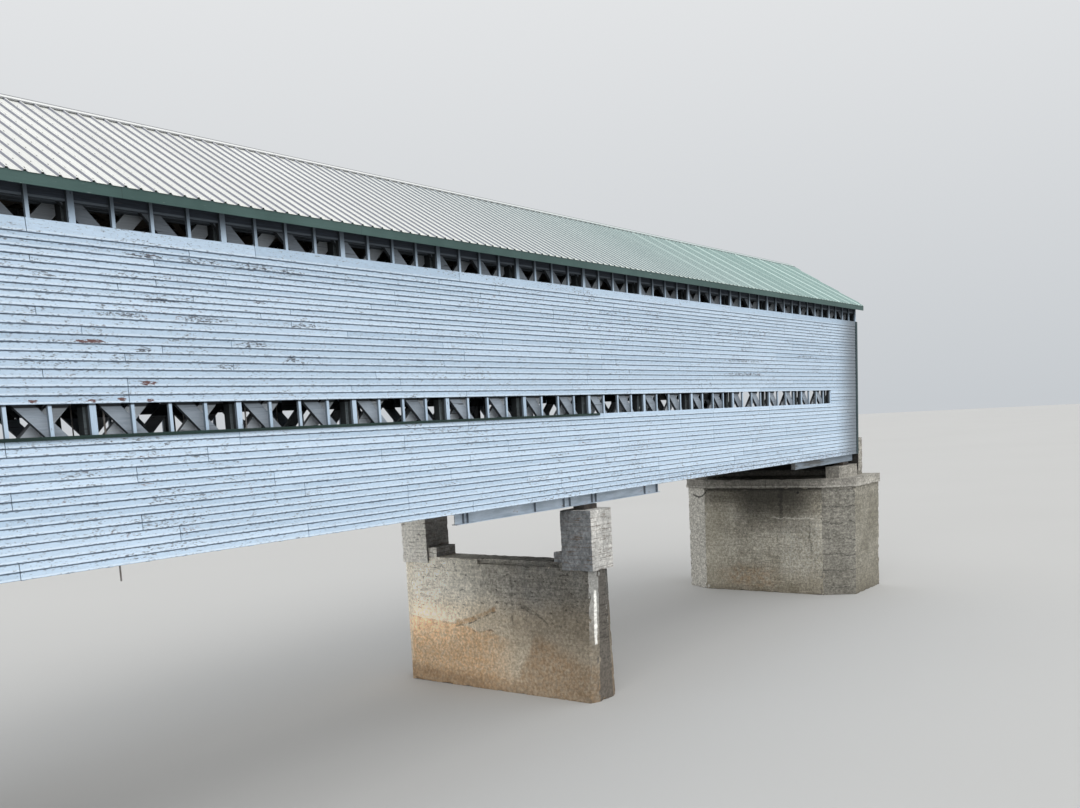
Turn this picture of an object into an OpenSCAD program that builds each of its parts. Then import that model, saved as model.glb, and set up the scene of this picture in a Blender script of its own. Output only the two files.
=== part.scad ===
// Covered bridge with two lattice-truss spans on a concrete pier and two
// concrete abutments. X runs along the roadway, Y across it and Z up.
// The origin is in the middle, level with the foot of the pier.
// The side at -Y is called near and the side at +Y far.

/* [Trusses] */
// Length of one truss panel, from post to post
panel_l = 2650; // [2200:10:2660]
// Number of truss panels between the end posts
panels = 14; // [10:2:14]
// Width of the bridge over the outer faces of its siding
bridge_w = 6200; // [5600:20:7000]
// Height of the underside of the lower chords above the foot of the pier
chord_z = 5350; // [4800:10:6500]
// Height from the underside of the lower chords to the top of the upper chords
truss_h = 5570; // [5100:10:6500]
// Depth of a plank of the lower chords
chord_h = 290; // [200:5:340]
// Depth of a plank of the upper chords
top_chord_h = 235; // [180:5:300]
// Thickness of chord and lattice planks
plank_t = 75; // [50:1:90]
// Width of a lattice plank
plank_w = 245; // [150:5:300]
// Lattice planks of one layer that start in each panel
planks_per_panel = 2; // [1:1:2]
// Distance below the tops of the trusses of the level where the planks are set out
pattern_drop = 560; // [400:10:900]
// Distance from a post to the planks at that level, as a share of a panel
pattern_shift = 0.15; // [0.05:0.01:0.22]
// Depth across the bridge of the posts between the two lattice layers
post_d = 150; // [100:5:200]
// Width of a post along the bridge
post_w = 105; // [80:1:140]
// Diameter of the iron rods beside the posts
rod_d = 28; // [16:1:40]
// Distance from a post to the rod beside it
rod_gap = 330; // [200:5:460]
// Width of the square plates at the ends of the rods
rod_plate = 140; // [80:5:160]
// How far the rods run out past their nuts
rod_tail = 22; // [10:1:40]
// Length of the one rod end that hangs lower on the near side
long_tail = 290; // [100:10:400]

/* [Floor] */
// Width of a floor beam
floor_beam_w = 100; // [60:5:105]
// Depth of a floor beam
floor_beam_h = 240; // [150:5:300]
// Floor beams in each panel
beams_per_panel = 4; // [2:1:6]
// Thickness of the deck planking
deck_t = 75; // [50:5:120]
// Height and width of the wheel guards along the deck
guard_s = 150; // [100:5:200]
// Distance from the trusses to the wheel guards
guard_in = 80; // [20:5:150]
// Width of the lateral bracing timbers
brace_w = 150; // [80:5:160]
// Thickness of the lateral bracing timbers
brace_t = 75; // [40:5:90]
// Thickness of the bracing timbers on the tie beams
top_brace_t = 50; // [30:5:90]

/* [Walls] */
// Thickness of the siding at the thick edge of a board
siding_t = 22; // [16:1:30]
// Thickness of the siding at the thin edge of a board
siding_thin = 10; // [6:1:14]
// How far the siding hangs below the chords
siding_drop = 50; // [0:5:120]
// Number of courses in the lower band of siding
lower_courses = 16; // [10:1:20]
// Height that one course of the lower band shows
lower_course = 124; // [100:1:140]
// Height of the long opening between the two bands of siding
window_h = 480; // [300:10:600]
// Number of courses in the lower part of the upper band
wide_courses = 11; // [6:1:14]
// Height that one of those courses shows
wide_course = 126; // [100:1:135]
// Number of courses in the upper part of the upper band
narrow_courses = 10; // [6:1:12]
// Height that one of those courses shows
narrow_course = 102; // [80:1:110]
// Height of the board along the top of the upper band
top_board = 190; // [100:5:220]
// Depth of the studs behind the siding
stud_d = 50; // [40:1:75]
// Width of a stud
stud_w = 58; // [40:1:80]
// Width of the corner boards
corner_w = 130; // [80:5:200]
// Thickness of the corner boards
corner_t = 24; // [16:1:40]
// Thickness of the sill board on the lower band of siding
sill_t = 24; // [16:1:40]
// How far the sill boards stand proud of the siding
sill_out = 30; // [10:1:50]
// How far the near sill board runs past the middle of the bridge
sill_end = 390; // [100:10:3000]
// Courses of siding that close the long opening in the last panels
infill_courses = 4; // [3:1:5]

/* [Roof] */
// Pitch of the roof in degrees
pitch = 31.3; // [26:0.1:36]
// Distance from the siding to the edge of the roof
eave_out = 240; // [150:5:400]
// How far the roof runs past the end posts at the eaves
end_out = 240; // [120:5:400]
// How much further the roof runs out at the ridge than at the eaves
prow = 950; // [0:10:960]
// Depth of a rafter
rafter_h = 125; // [80:5:140]
// Width of a rafter
rafter_w = 50; // [35:1:75]
// Depth and width of the wall plates
plate_h = 60; // [40:1:100]
// Depth of the rafters' seat cut at the wall plate
seat_cut = 26; // [10:1:30]
// Thickness of the boards that carry the roofing
batten_t = 25; // [16:1:40]
// Width of those boards
batten_w = 95; // [60:5:140]
// Number of those boards on one slope
battens = 12; // [8:1:14]
// Thickness of the roofing sheets
sheet_t = 6; // [3:1:8]
// Height of the ribs of the roofing sheets
rib_h = 24; // [12:1:40]
// Width of a rib at its foot
rib_w = 68; // [50:2:90]
// Width of a rib along its top
rib_top_w = 32; // [20:2:40]
// Distance between two ribs
rib_pitch = 255; // [200:5:320]
// Width of each leg of the ridge cap
cap_leg = 210; // [120:5:300]
// Height of the fascia boards
fascia_h = 170; // [120:5:240]
// Thickness of the fascia boards
fascia_t = 25; // [16:1:40]
// Depth of the ridge board
ridge_board_h = 180; // [120:5:220]

/* [Roof frame] */
// Depth of the tie beams across the tops of the trusses
tie_h = 200; // [120:5:210]
// Drop and run of the knee braces
knee = 880; // [600:10:900]
// Width of a knee brace along the bridge
knee_w = 100; // [60:5:105]
// Depth of a knee brace
knee_t = 120; // [80:5:150]

/* [Portals] */
// Width of the jambs between the portal openings and the trusses
jamb_w = 148; // [80:2:300]
// Clear height of the portals above the deck
portal_h = 4260; // [3600:20:4500]
// Size of the slanting upper corners of the portals
portal_corner = 620; // [300:10:900]
// Depth of the portal timbers along the bridge
portal_d = 150; // [100:5:200]
// Width of the boards that trim the portals
casing_w = 110; // [60:5:160]

/* [Pier] */
// Thickness of the pier at its top
pier_t = 860; // [700:10:1200]
// Height of the pier's body under its pedestals
pier_h = 3390; // [2800:10:3600]
// How much each long face leans over its height
pier_batter = 150; // [0:5:300]
// How far the pier's straight faces run past the siding at each end
pier_past = 0; // [-150:10:250]
// Length of the pointed upstream nose
nose_l = 530; // [300:10:900]
// Length of the blunt downstream end
blunt_l = 120; // [60:5:300]
// Width along the bridge of the slanting corners of the blunt end
blunt_bevel = 280; // [100:10:320]
// Angle between the long faces and the slanting shoulders beside the nose
shoulder_turn = 18.5; // [12:0.5:30]
// How far the shoulders run back along the long faces at their tops
shoulder_l = 180; // [50:10:300]
// Rise of the middle part of the pier's top above the pedestals' seats
crown_h = 175; // [50:5:300]
// Length of the recess along the left edge of the middle part
ledge_l = 2750; // [1500:10:3800]
// Distance from the middle to the upstream end of the recess
ledge_end = 550; // [0:10:1500]
// Width of the recess
ledge_w = 140; // [60:5:250]
// Height of the floor of the recess above the pedestals' seats
ledge_z = 50; // [20:5:140]
// Width of the pedestals along the bridge
pedestal_w = 940; // [800:10:1000]
// Width of the pedestals across the bridge
pedestal_d = 940; // [700:10:1000]
// Height of the step beside each pedestal above the middle part
step_h = 270; // [100:5:400]
// Width of that step
step_w = 300; // [150:5:500]
// How far that step is set back from the long faces of the pier
step_in = 30; // [0:5:80]
// Thickness of the bearing packs on pedestals and bearing blocks
bearing_t = 120; // [40:5:160]
// Length of the bearing packs along the bridge
pack_l = 560; // [300:10:900]
// Width of the bearing packs
pack_w = 340; // [200:10:500]

/* [Girders] */
// Length of the steel girders on the pier
girder_l = 8670; // [6000:10:9500]
// Distance of the girders' middle from the middle of the pier
girder_off = -675; // [-900:5:900]
// Depth of the girders and of the end bolsters
girder_h = 310; // [200:5:340]
// Width of the girders' flanges
flange_w = 150; // [100:5:180]
// Thickness of the girders' flanges
flange_t = 16; // [8:1:25]
// Thickness of the girders' webs and stiffeners
web_t = 12; // [6:1:20]
// Length of the bolsters at the right ends of the trusses
bolster_l = 5540; // [3500:10:6000]
// Length of the bolsters at the left ends of the trusses
short_bolster_l = 3350; // [2800:10:6000]

/* [Abutments] */
// Distance from the end posts to the front face of the abutments
abut_front = 2170; // [1960:10:2600]
// Length of the abutments along the bridge
abut_l = 3220; // [2760:10:3260]
// How far the bridge seats run past the siding on each side
abut_past = 530; // [300:10:700]
// Length of the abutments' slanting corners along the bridge
abut_corner = 620; // [200:10:900]
// Width of those corners across the bridge
abut_corner_w = 1070; // [400:10:1800]
// Height of the bearing blocks on the bridge seats
block_h = 440; // [300:10:900]
// Thickness of the bridge seats
seat_t = 340; // [200:10:400]
// How far the bridge seats stand proud of the abutments
seat_out = 60; // [20:5:120]
// Thickness of the walls behind the ends of the deck
backwall_t = 420; // [300:10:600]
// Clearance between the deck and those walls
deck_gap = 60; // [20:5:120]
// Height of the deck above the tops of those walls
deck_step = 25; // [0:5:80]
// Length of the bearing blocks under the ends of the trusses
block_l = 1900; // [1000:10:2050]
// Width of the bearing blocks
block_w = 520; // [300:10:700]

/* [Hidden] */

// Colours of the parts
paint = "lightsteelblue";
trim = "darkslategray";
timber = "tan";
concrete = "darkgray";
steel = "lightslategray";
roofing = "honeydew";

// Layers of a truss, measured outwards from the middle of the bridge
siding_y = bridge_w / 2;
stud_y = siding_y - siding_t;
chord_out_y = stud_y - stud_d;
lattice_out_y = chord_out_y - plank_t;
post_y = lattice_out_y - plank_t;
lattice_in_y = post_y - post_d;
chord_in_y = lattice_in_y - plank_t;
truss_in_y = chord_in_y - plank_t;
truss_y = post_y - post_d / 2;

// Lengths along the bridge
end_post_x = panels * panel_l / 2;
frame_x = end_post_x + post_w / 2;
wall_x = frame_x + siding_t;
eave_x = end_post_x + end_out;
ridge_x = eave_x + prow;
quarter = panel_l / 4;

// Levels
chord_top = chord_z + chord_h;
truss_top = chord_z + truss_h;
upper_z = truss_top - top_chord_h;
siding_z = chord_z - siding_drop;
window_z = siding_z + lower_courses * lower_course;
upper_siding_z = window_z + window_h;
beam_top = chord_top + floor_beam_h;
deck_top = beam_top + deck_t;
girder_z = chord_z - girder_h;
bearing_z = girder_z - bearing_t;
seat_top = bearing_z - block_h;
abut_h = seat_top - seat_t;
crown_top = pier_h + crown_h;
plate_z = truss_top + plate_h;
tie_top = truss_top + tie_h;

// The roof, from the wall plates up
rise = tan(pitch);
rafter_v = rafter_h / cos(pitch);
batten_v = batten_t / cos(pitch);
rafter_peak = plate_z - seat_cut + rafter_v + chord_out_y * rise;
roof_peak = rafter_peak + batten_v;
eave_y = siding_y + eave_out;
slope_l = eave_y / cos(pitch);
edge_in = 15;
tail_y = eave_y - fascia_t - edge_in;
ridge_board_t = 40;
tie_y = chord_out_y - (tie_h - plate_h + seat_cut) / rise;
function rafter_bottom(y) = rafter_peak - rafter_v - y * rise;

// Half-length of the roof at a distance y from the middle
function roof_x(y) = ridge_x - prow * y / eave_y;

// Gap where two timbers of one sub-part butt against each other
butt_gap = 0.3;

// Thickness of the plates at the ends of the rods
rod_plate_t = 12;

// Lattice planks run at 45 degrees
lattice_step = panel_l / planks_per_panel;
lattice_level = truss_top - pattern_drop;

// Half-length of the pier's straight faces and the pedestals' inner faces
pier_half_l = siding_y + pier_past;
pedestal_y = truss_y - pedestal_d / 2;

// Portal openings, drawn across the bridge and up
portal_half = truss_in_y - jamb_w;
portal_top = deck_top + portal_h;
portal_corner_z = portal_top - portal_corner;

// Repeats a part of the near side on the far side
module both_sides() {
    children();
    mirror([0, 1, 0]) children();
}

// Repeats a part of the right end at the left end
module both_ends() {
    children();
    mirror([1, 0, 0]) children();
}

// A box that spans from y_in to y_out on the near side
module layer(x0, x1, y_in, y_out, z0, z1) {
    translate([x0, -y_out, z0]) cube([x1 - x0, y_out - y_in, z1 - z0]);
}

// Pier

module pier_plan(half_t) {
    blunt_end = pier_half_l + blunt_l;
    polygon([
        [-half_t, -blunt_end], [half_t, -blunt_end],
        [half_t, pier_half_l], [0, pier_half_l + nose_l], [-half_t, pier_half_l]
    ]);
}

// Cross-section of the pier: two leaning faces
module pier_section(height) {
    foot = pier_t / 2 + pier_batter;
    head = foot - pier_batter * height / pier_h;
    polygon([[-foot, 0], [foot, 0], [head, height], [-head, height]]);
}

// What a slanting corner takes off the pier at its far left. The corner's face
// leans with the long face, turns away from it and runs back along it at the top.
module corner_cut(turn, back) {
    lean = (pier_batter * cos(turn) + back * sin(turn)) / pier_h;
    reach = 2 * pier_t;
    head = crown_top + 1;
    translate([-pier_t / 2 - pier_batter, pier_half_l, 0]) rotate([90, 0, -turn])
        linear_extrude(2 * reach, center = true)
            polygon([[-reach, -1], [-lean, -1], [lean * head, head], [-reach, head]]);
}

module pier_mass(height) {
    reach = pier_half_l + nose_l + 1;
    difference() {
        intersection() {
            linear_extrude(height) pier_plan(pier_t / 2 + pier_batter);
            translate([0, reach, 0]) rotate([90, 0, 0]) linear_extrude(2 * reach) pier_section(height);
        }
        both_ends() {
            corner_cut(shoulder_turn, shoulder_l);
            mirror([0, 1, 0]) corner_cut(atan2(blunt_bevel, blunt_l), 0);
        }
    }
}

// The pier's body with the raised middle part of its top
module pier() {
    color(concrete)
        difference() {
            pier_mass(crown_top);
            for (side = [-1, 1])
                translate([-pier_t, side > 0 ? pedestal_y : -2 * pier_half_l, pier_h])
                    cube([2 * pier_t, 2 * pier_half_l - pedestal_y, crown_h + 1]);
            translate([-pier_t / 2 - 1, ledge_end - ledge_l, pier_h + ledge_z])
                cube([ledge_w, ledge_l, crown_h]);
        }
}

// A pedestal and the low step on its inner side
module pedestal_near() {
    half_step = pier_t / 2 - step_in;
    color(concrete) union() {
        layer(-pedestal_w / 2, pedestal_w / 2, pedestal_y, pedestal_y + pedestal_d, pier_h, bearing_z);
        layer(-half_step, half_step, pedestal_y - step_w, pedestal_y, crown_top, crown_top + step_h);
    }
}

module pedestal_far() {
    mirror([0, 1, 0]) pedestal_near();
}

// Abutments, drawn at the right end

module abutment_plan(grow) {
    front = end_post_x - abut_front - grow;
    back = end_post_x - abut_front + abut_l;
    half_w = siding_y + abut_past - seat_out + grow;
    half_flat = siding_y + abut_past - seat_out - abut_corner_w;
    polygon([
        [front, -half_flat], [front + abut_corner, -half_w],
        [back, -half_w], [back, half_w],
        [front + abut_corner, half_w], [front, half_flat]
    ]);
}

module abutment_right() {
    color(concrete) linear_extrude(abut_h) abutment_plan(0);
}

module abutment_left() {
    mirror([1, 0, 0]) abutment_right();
}

module bridge_seat_right() {
    wall_front = wall_x + deck_gap;
    color(concrete) union() {
        translate([0, 0, abut_h]) linear_extrude(seat_t) abutment_plan(seat_out);
        translate([wall_front, -siding_y, seat_top])
            cube([backwall_t, bridge_w, deck_top - deck_step - seat_top]);
    }
}

module bridge_seat_left() {
    mirror([1, 0, 0]) bridge_seat_right();
}

module bearing_blocks() {
    half_w = block_w / 2;
    color(concrete) both_ends() both_sides()
        layer(frame_x - block_l, frame_x, truss_y - half_w, truss_y + half_w, seat_top, bearing_z);
}

module bearing_plates() {
    half_l = pack_l / 2;
    half_w = pack_w / 2;
    end_x = frame_x - block_l / 2;
    color(steel) both_sides() {
        layer(-half_l, half_l, truss_y - half_w, truss_y + half_w, bearing_z, girder_z);
        both_ends()
            layer(end_x - half_l, end_x + half_l, truss_y - half_w, truss_y + half_w, bearing_z, girder_z);
    }
}

// Steel girders that spread the load of the trusses on the pier

module girder_section() {
    polygon([
        [-flange_w / 2, 0], [flange_w / 2, 0], [flange_w / 2, flange_t],
        [web_t / 2, flange_t], [web_t / 2, girder_h - flange_t],
        [flange_w / 2, girder_h - flange_t], [flange_w / 2, girder_h],
        [-flange_w / 2, girder_h], [-flange_w / 2, girder_h - flange_t],
        [-web_t / 2, girder_h - flange_t], [-web_t / 2, flange_t], [-flange_w / 2, flange_t]
    ]);
}

module girder() {
    // Places of the stiffeners as shares of the length, from the left end
    stiffeners = [0.03, 0.046, 0.33, 0.466, 0.496, 0.61, 0.63, 0.91, 0.985];
    depth = flange_w - web_t;
    union() {
        rotate([90, 0, 90]) translate([0, 0, -girder_l / 2]) linear_extrude(girder_l) girder_section();
        for (share = stiffeners)
            translate([(share - 0.5) * girder_l - web_t / 2, -depth / 2, flange_t])
                cube([web_t, depth, girder_h - 2 * flange_t]);
    }
}

module pier_girders() {
    color(steel) both_sides() translate([girder_off, -truss_y, girder_z]) girder();
}

module end_bolsters() {
    color(timber) both_sides() {
        layer(frame_x - bolster_l, frame_x, lattice_in_y, post_y, girder_z, chord_z);
        layer(-frame_x, short_bolster_l - frame_x, lattice_in_y, post_y, girder_z, chord_z);
    }
}

// Trusses

module chord(z0, z1) {
    both_sides() {
        layer(-frame_x, frame_x, lattice_out_y, chord_out_y, z0, z1);
        layer(-frame_x, frame_x, lattice_in_y, post_y, z0, z1);
        layer(-frame_x, frame_x, truss_in_y, chord_in_y, z0, z1);
    }
}

module lower_chords() {
    color(timber) chord(chord_z, chord_top);
}

module upper_chords() {
    color(timber) chord(upper_z, truss_top);
}

// One layer of parallel planks at 45 degrees, cut off at the chords and at
// the ends. lean is 1 where they rise to the right and -1 where they fall.
module lattice_layer(lean) {
    mid_z = (chord_z + truss_top) / 2;
    first = lean * (mid_z - lattice_level - pattern_shift * panel_l);
    count = ceil((2 * frame_x + truss_h) / lattice_step / 2) + 1;
    intersection() {
        translate([-frame_x, chord_z]) square([2 * frame_x, truss_h]);
        for (i = [-count : count])
            translate([first + i * lattice_step, mid_z])
                rotate(lean * 45) square([3 * truss_h, plank_w], center = true);
    }
}

module lattice(y_out, lean) {
    color(timber) translate([0, -y_out + plank_t, 0])
        rotate([90, 0, 0]) linear_extrude(plank_t) lattice_layer(lean);
}

module outer_lattice_near() {
    lattice(lattice_out_y, -1);
}

module outer_lattice_far() {
    mirror([0, 1, 0]) outer_lattice_near();
}

module inner_lattice_near() {
    lattice(lattice_in_y, 1);
}

module inner_lattice_far() {
    mirror([0, 1, 0]) inner_lattice_near();
}

// Each post is a timber between the lattice layers and a plank outside them
module posts() {
    color(timber) both_sides()
        for (i = [0 : panels]) {
            x = -end_post_x + i * panel_l;
            layer(x - post_w / 2, x + post_w / 2, lattice_in_y, post_y, chord_top, upper_z);
            layer(x - post_w / 2, x + post_w / 2, lattice_out_y, chord_out_y, chord_top, upper_z);
        }
}

// Plate, nut and bare end of a rod, from the timber they bear on upwards
module rod_end(tail) {
    nut_h = 0.8 * rod_d;
    union() {
        translate([-rod_plate / 2, -rod_plate / 2, 0]) cube([rod_plate, rod_plate, rod_plate_t]);
        translate([0, 0, rod_plate_t]) cylinder(h = nut_h, d = 2 * rod_d, $fn = 6);
        translate([0, 0, rod_plate_t]) cylinder(h = nut_h + tail, d = rod_d, $fn = 24);
    }
}

// True where a girder or a bolster lies under the chord
function is_carried(x) =
    abs(x - girder_off) < girder_l / 2 + rod_plate
    || x > frame_x - bolster_l - rod_plate
    || x < short_bolster_l - frame_x + rod_plate;

// Rods between the chords, with their ends on the upper chords and, where the
// underside is free, under the lower chords
module tie_rods() {
    color(steel)
        for (side = [-1, 1], i = [0 : panels - 1]) {
            x = -end_post_x + i * panel_l + rod_gap;
            tail = side < 0 && i == 2 ? long_tail : rod_tail;
            translate([x, side * truss_y, 0]) {
                translate([0, 0, chord_top]) cylinder(h = upper_z - chord_top, d = rod_d, $fn = 24);
                translate([0, 0, truss_top]) rod_end(rod_tail);
                if (!is_carried(x)) translate([0, 0, chord_z]) mirror([0, 0, 1]) rod_end(tail);
            }
        }
}

// Studs that carry the siding: one at each post and three between
module studs() {
    color(timber) both_sides()
        for (i = [0 : 4 * panels]) {
            x = -end_post_x + i * quarter;
            half = (i % 4 == 0 ? post_w : stud_w) / 2;
            layer(x - half, x + half, chord_out_y, stud_y, siding_z, truss_top);
        }
}

// Floor

module floor_beams() {
    count = panels * beams_per_panel;
    color(timber)
        for (i = [0 : count]) {
            x = -end_post_x + i * panel_l / beams_per_panel;
            translate([x - floor_beam_w / 2, -chord_in_y, chord_top])
                cube([floor_beam_w, 2 * chord_in_y, floor_beam_h]);
        }
}

module deck() {
    color(timber)
        translate([-frame_x, -truss_in_y, beam_top]) cube([2 * frame_x, 2 * truss_in_y, deck_t]);
}

module wheel_guards() {
    guard_x = frame_x - portal_d;
    outer = truss_in_y - guard_in;
    color(timber) both_sides()
        layer(-guard_x, guard_x, outer - guard_s, outer, deck_top, deck_top + guard_s);
}

// Crossed timbers between two lines of truss, two panels long each. One timber
// of a cross runs through and the other is in two lengths that butt against it.
module crossed_bracing(half_y, thickness) {
    bay = 2 * panel_l;
    bay_gap = 8;
    reach = norm([bay, 2 * half_y]);
    lean = atan2(2 * half_y, bay);
    for (i = [0 : panels / 2 - 1])
        translate([-end_post_x + (i + 0.5) * bay, 0, 0])
            linear_extrude(thickness)
                intersection() {
                    square([bay - bay_gap, 2 * half_y], center = true);
                    union() {
                        rotate(lean) square([2 * reach, brace_w], center = true);
                        difference() {
                            rotate(-lean) square([2 * reach, brace_w], center = true);
                            rotate(lean) square([2 * reach, brace_w + 2 * butt_gap], center = true);
                        }
                    }
                }
}

module lower_bracing() {
    color(timber) translate([0, 0, chord_z]) crossed_bracing(truss_in_y, brace_t);
}

// Roof frame

module tie_beams() {
    color(timber)
        for (i = [0 : panels])
            translate([-end_post_x + i * panel_l - post_w / 2, -tie_y, truss_top])
                cube([post_w, 2 * tie_y, tie_h]);
}

module upper_bracing() {
    half_y = truss_in_y - brace_w / 2;
    color(timber) translate([0, 0, tie_top]) crossed_bracing(half_y, top_brace_t);
}

// A knee brace from the inner face of a post up to the tie beam above it
module knee_brace() {
    top_y = lattice_in_y - knee;
    low_z = truss_top - knee;
    across = knee_t * sqrt(2);
    rotate([90, 0, 90]) translate([0, 0, -knee_w / 2]) linear_extrude(knee_w)
        polygon([
            [lattice_in_y, low_z], [top_y, truss_top],
            [top_y - across, truss_top], [lattice_in_y, low_z - across]
        ]);
}

module knee_braces() {
    color(timber) both_sides()
        for (i = [1 : panels - 1])
            translate([-end_post_x + i * panel_l, 0, 0]) knee_brace();
}

module wall_plates() {
    color(timber) both_sides()
        layer(-frame_x, frame_x, lattice_out_y, chord_out_y, truss_top, plate_z);
}

// Outline of a rafter, with its seat on the wall plate and a plumb tail
module rafter_outline() {
    head_y = ridge_board_t / 2;
    seat_in = chord_out_y - seat_cut / rise;
    polygon([
        [head_y, rafter_peak - head_y * rise], [tail_y, rafter_peak - tail_y * rise],
        [tail_y, rafter_bottom(tail_y)], [chord_out_y, rafter_bottom(chord_out_y)],
        [chord_out_y, plate_z], [seat_in, plate_z],
        [head_y, rafter_bottom(head_y)]
    ]);
}

module rafter(x) {
    translate([x, 0, 0]) rotate([90, 0, 90]) linear_extrude(rafter_w) rafter_outline();
}

module rafters() {
    color(timber) both_sides() {
        for (i = [0 : 4 * panels - 1])
            rafter(-end_post_x + (i + 0.5) * quarter - rafter_w / 2);
        rafter(frame_x - rafter_w);
        rafter(-frame_x);
    }
}

module ridge_board() {
    half_l = ridge_x - 2 * fascia_t - edge_in;
    half_t = ridge_board_t / 2;
    top = rafter_peak - half_t * rise;
    color(timber)
        translate([-half_l, -half_t, top - ridge_board_h]) cube([2 * half_l, ridge_board_t, ridge_board_h]);
}

// Moves into the plane of the near slope: x along the ridge, y up the slope
// with 0 at the ridge, z outwards
module on_slope() {
    translate([0, 0, roof_peak]) rotate([pitch, 0, 0]) children();
}

module roof_battens() {
    lowest = -slope_l + fascia_t + 2 * edge_in;
    highest = -batten_w - ridge_board_t;
    color(timber) both_sides() on_slope()
        for (i = [0 : battens - 1]) {
            y = lowest + i * (highest - lowest) / (battens - 1);
            half = roof_x(-y * cos(pitch)) - 2 * fascia_t;
            translate([-half, y, -batten_t]) cube([2 * half, batten_w, batten_t]);
        }
}

// Section of a ribbed sheet: ribs with open undersides
module sheet_section() {
    ribs = floor(ridge_x / rib_pitch);
    foot = rib_w / 2;
    head = rib_top_w / 2;
    rib = [[-foot, 0], [-head, rib_h], [head, rib_h], [foot, 0]];
    inner = 1 - sheet_t / foot;
    top = [for (i = [-ribs : ribs], p = rib) [i * rib_pitch + p[0], p[1] + sheet_t]];
    low = [for (i = [ribs : -1 : -ribs], k = [3 : -1 : 0]) [i * rib_pitch + rib[k][0] * inner, rib[k][1]]];
    polygon(concat(
        [[-ridge_x, 0], [-ridge_x, sheet_t]], top,
        [[ridge_x, sheet_t], [ridge_x, 0]], low
    ));
}

// Plan of the roof: its ends slant out towards the ridge
module roof_plan() {
    polygon([[-ridge_x, 0], [-eave_x, -eave_y], [eave_x, -eave_y], [ridge_x, 0]]);
}

module roof_near() {
    color(roofing)
        intersection() {
            on_slope() rotate([90, 0, 0]) linear_extrude(slope_l) sheet_section();
            translate([0, 0, siding_z]) linear_extrude(2 * truss_h) roof_plan();
        }
}

module roof_far() {
    mirror([0, 1, 0]) roof_near();
}

// Folded cap on the ribs along the ridge
module ridge_cap() {
    lift = (sheet_t + rib_h) / cos(pitch);
    drop = cap_leg * sin(pitch);
    run = cap_leg * cos(pitch);
    thick = sheet_t / cos(pitch);
    peak = roof_peak + lift;
    color(roofing)
        rotate([90, 0, 90]) linear_extrude(2 * ridge_x - edge_in, center = true)
            polygon([
                [-run, peak - drop], [0, peak], [run, peak - drop],
                [run, peak - drop + thick], [0, peak + thick], [-run, peak - drop + thick]
            ]);
}

// Band under one slope of the roofing, as deep as the fascia
module rake_band() {
    low = roof_peak - fascia_h;
    head_y = butt_gap / 2;
    polygon([
        [head_y, roof_peak - head_y * rise], [tail_y, roof_peak - tail_y * rise],
        [tail_y, low - tail_y * rise], [head_y, low - head_y * rise]
    ]);
}

// Boards under the edges of the roof: straight ones along the eaves and a
// slanting pair at each end that meet under the ridge
module fascia_boards() {
    board_y = tail_y + fascia_t;
    board_top = roof_peak - board_y * rise;
    end_x = eave_x - edge_in;
    peak_x = ridge_x - edge_in;
    color(trim) both_sides() {
        layer(-end_x, end_x, tail_y + butt_gap, board_y, board_top - fascia_h, board_top);
        both_ends()
            intersection() {
                mirror([0, 1, 0]) rotate([90, 0, 90]) linear_extrude(ridge_x) rake_band();
                translate([0, 0, siding_z]) linear_extrude(2 * truss_h)
                    polygon([
                        [peak_x, 0], [end_x, -eave_y],
                        [end_x - fascia_t, -eave_y], [peak_x - fascia_t, 0]
                    ]);
            }
    }
}

// Siding

// Section through courses of overlapping boards, with its flat back at 0
module board_section(courses) {
    starts = [for (i = 0, z = 0; i < len(courses); z = z + courses[i], i = i + 1) z];
    total = starts[len(courses) - 1] + courses[len(courses) - 1];
    face = [
        for (i = [0 : len(courses) - 1])
            each [[siding_t, starts[i]], [siding_thin, starts[i] + courses[i]]]
    ];
    polygon(concat([[0, 0]], face, [[0, total]]));
}

// Overlapping boards on the near wall, from x0 to x1
module wall_boards(x0, x1, z0, courses) {
    color(paint) translate([x0, -stud_y, z0]) mirror([0, 1, 0])
        rotate([90, 0, 90]) linear_extrude(x1 - x0) board_section(courses);
}

function repeated(count, size) = [for (i = [1 : count]) size];

module upper_siding_near() {
    courses = concat(
        repeated(wide_courses, wide_course),
        repeated(narrow_courses, narrow_course),
        [top_board]
    );
    wall_boards(-frame_x, frame_x, upper_siding_z, courses);
}

module upper_siding_far() {
    mirror([0, 1, 0]) upper_siding_near();
}

module lower_siding_near() {
    wall_boards(-frame_x, frame_x, siding_z, repeated(lower_courses, lower_course));
}

module lower_siding_far() {
    mirror([0, 1, 0]) lower_siding_near();
}

// Boards that close the long opening in the last panel at each end
module end_infill() {
    courses = repeated(infill_courses, window_h / infill_courses);
    both_ends() both_sides()
        wall_boards(end_post_x - panel_l + post_w / 2, frame_x, window_z, courses);
}

// Sill boards on top of the lower band. The near one is missing on the right.
module sill_boards() {
    start = -end_post_x + panel_l + post_w / 2;
    outer = siding_y + sill_out;
    color(trim) {
        layer(start, sill_end, stud_y, outer, window_z, window_z + sill_t);
        mirror([0, 1, 0])
            layer(start, -start, stud_y, outer, window_z, window_z + sill_t);
    }
}

// Corner boards, an angle of two boards around each corner
module corner_boards() {
    low = siding_z;
    courses_h = wide_courses * wide_course + narrow_courses * narrow_course;
    high = upper_siding_z + courses_h + top_board;
    color(trim)
        both_ends() both_sides()
            union() {
                layer(frame_x, wall_x, stud_y, siding_y, low, high);
                layer(wall_x - corner_w, wall_x + corner_t, siding_y, siding_y + corner_t, low, high);
                layer(wall_x, wall_x + corner_t, siding_y - corner_w, siding_y, low, high);
            }
}

// Portals, drawn at the right end

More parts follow.
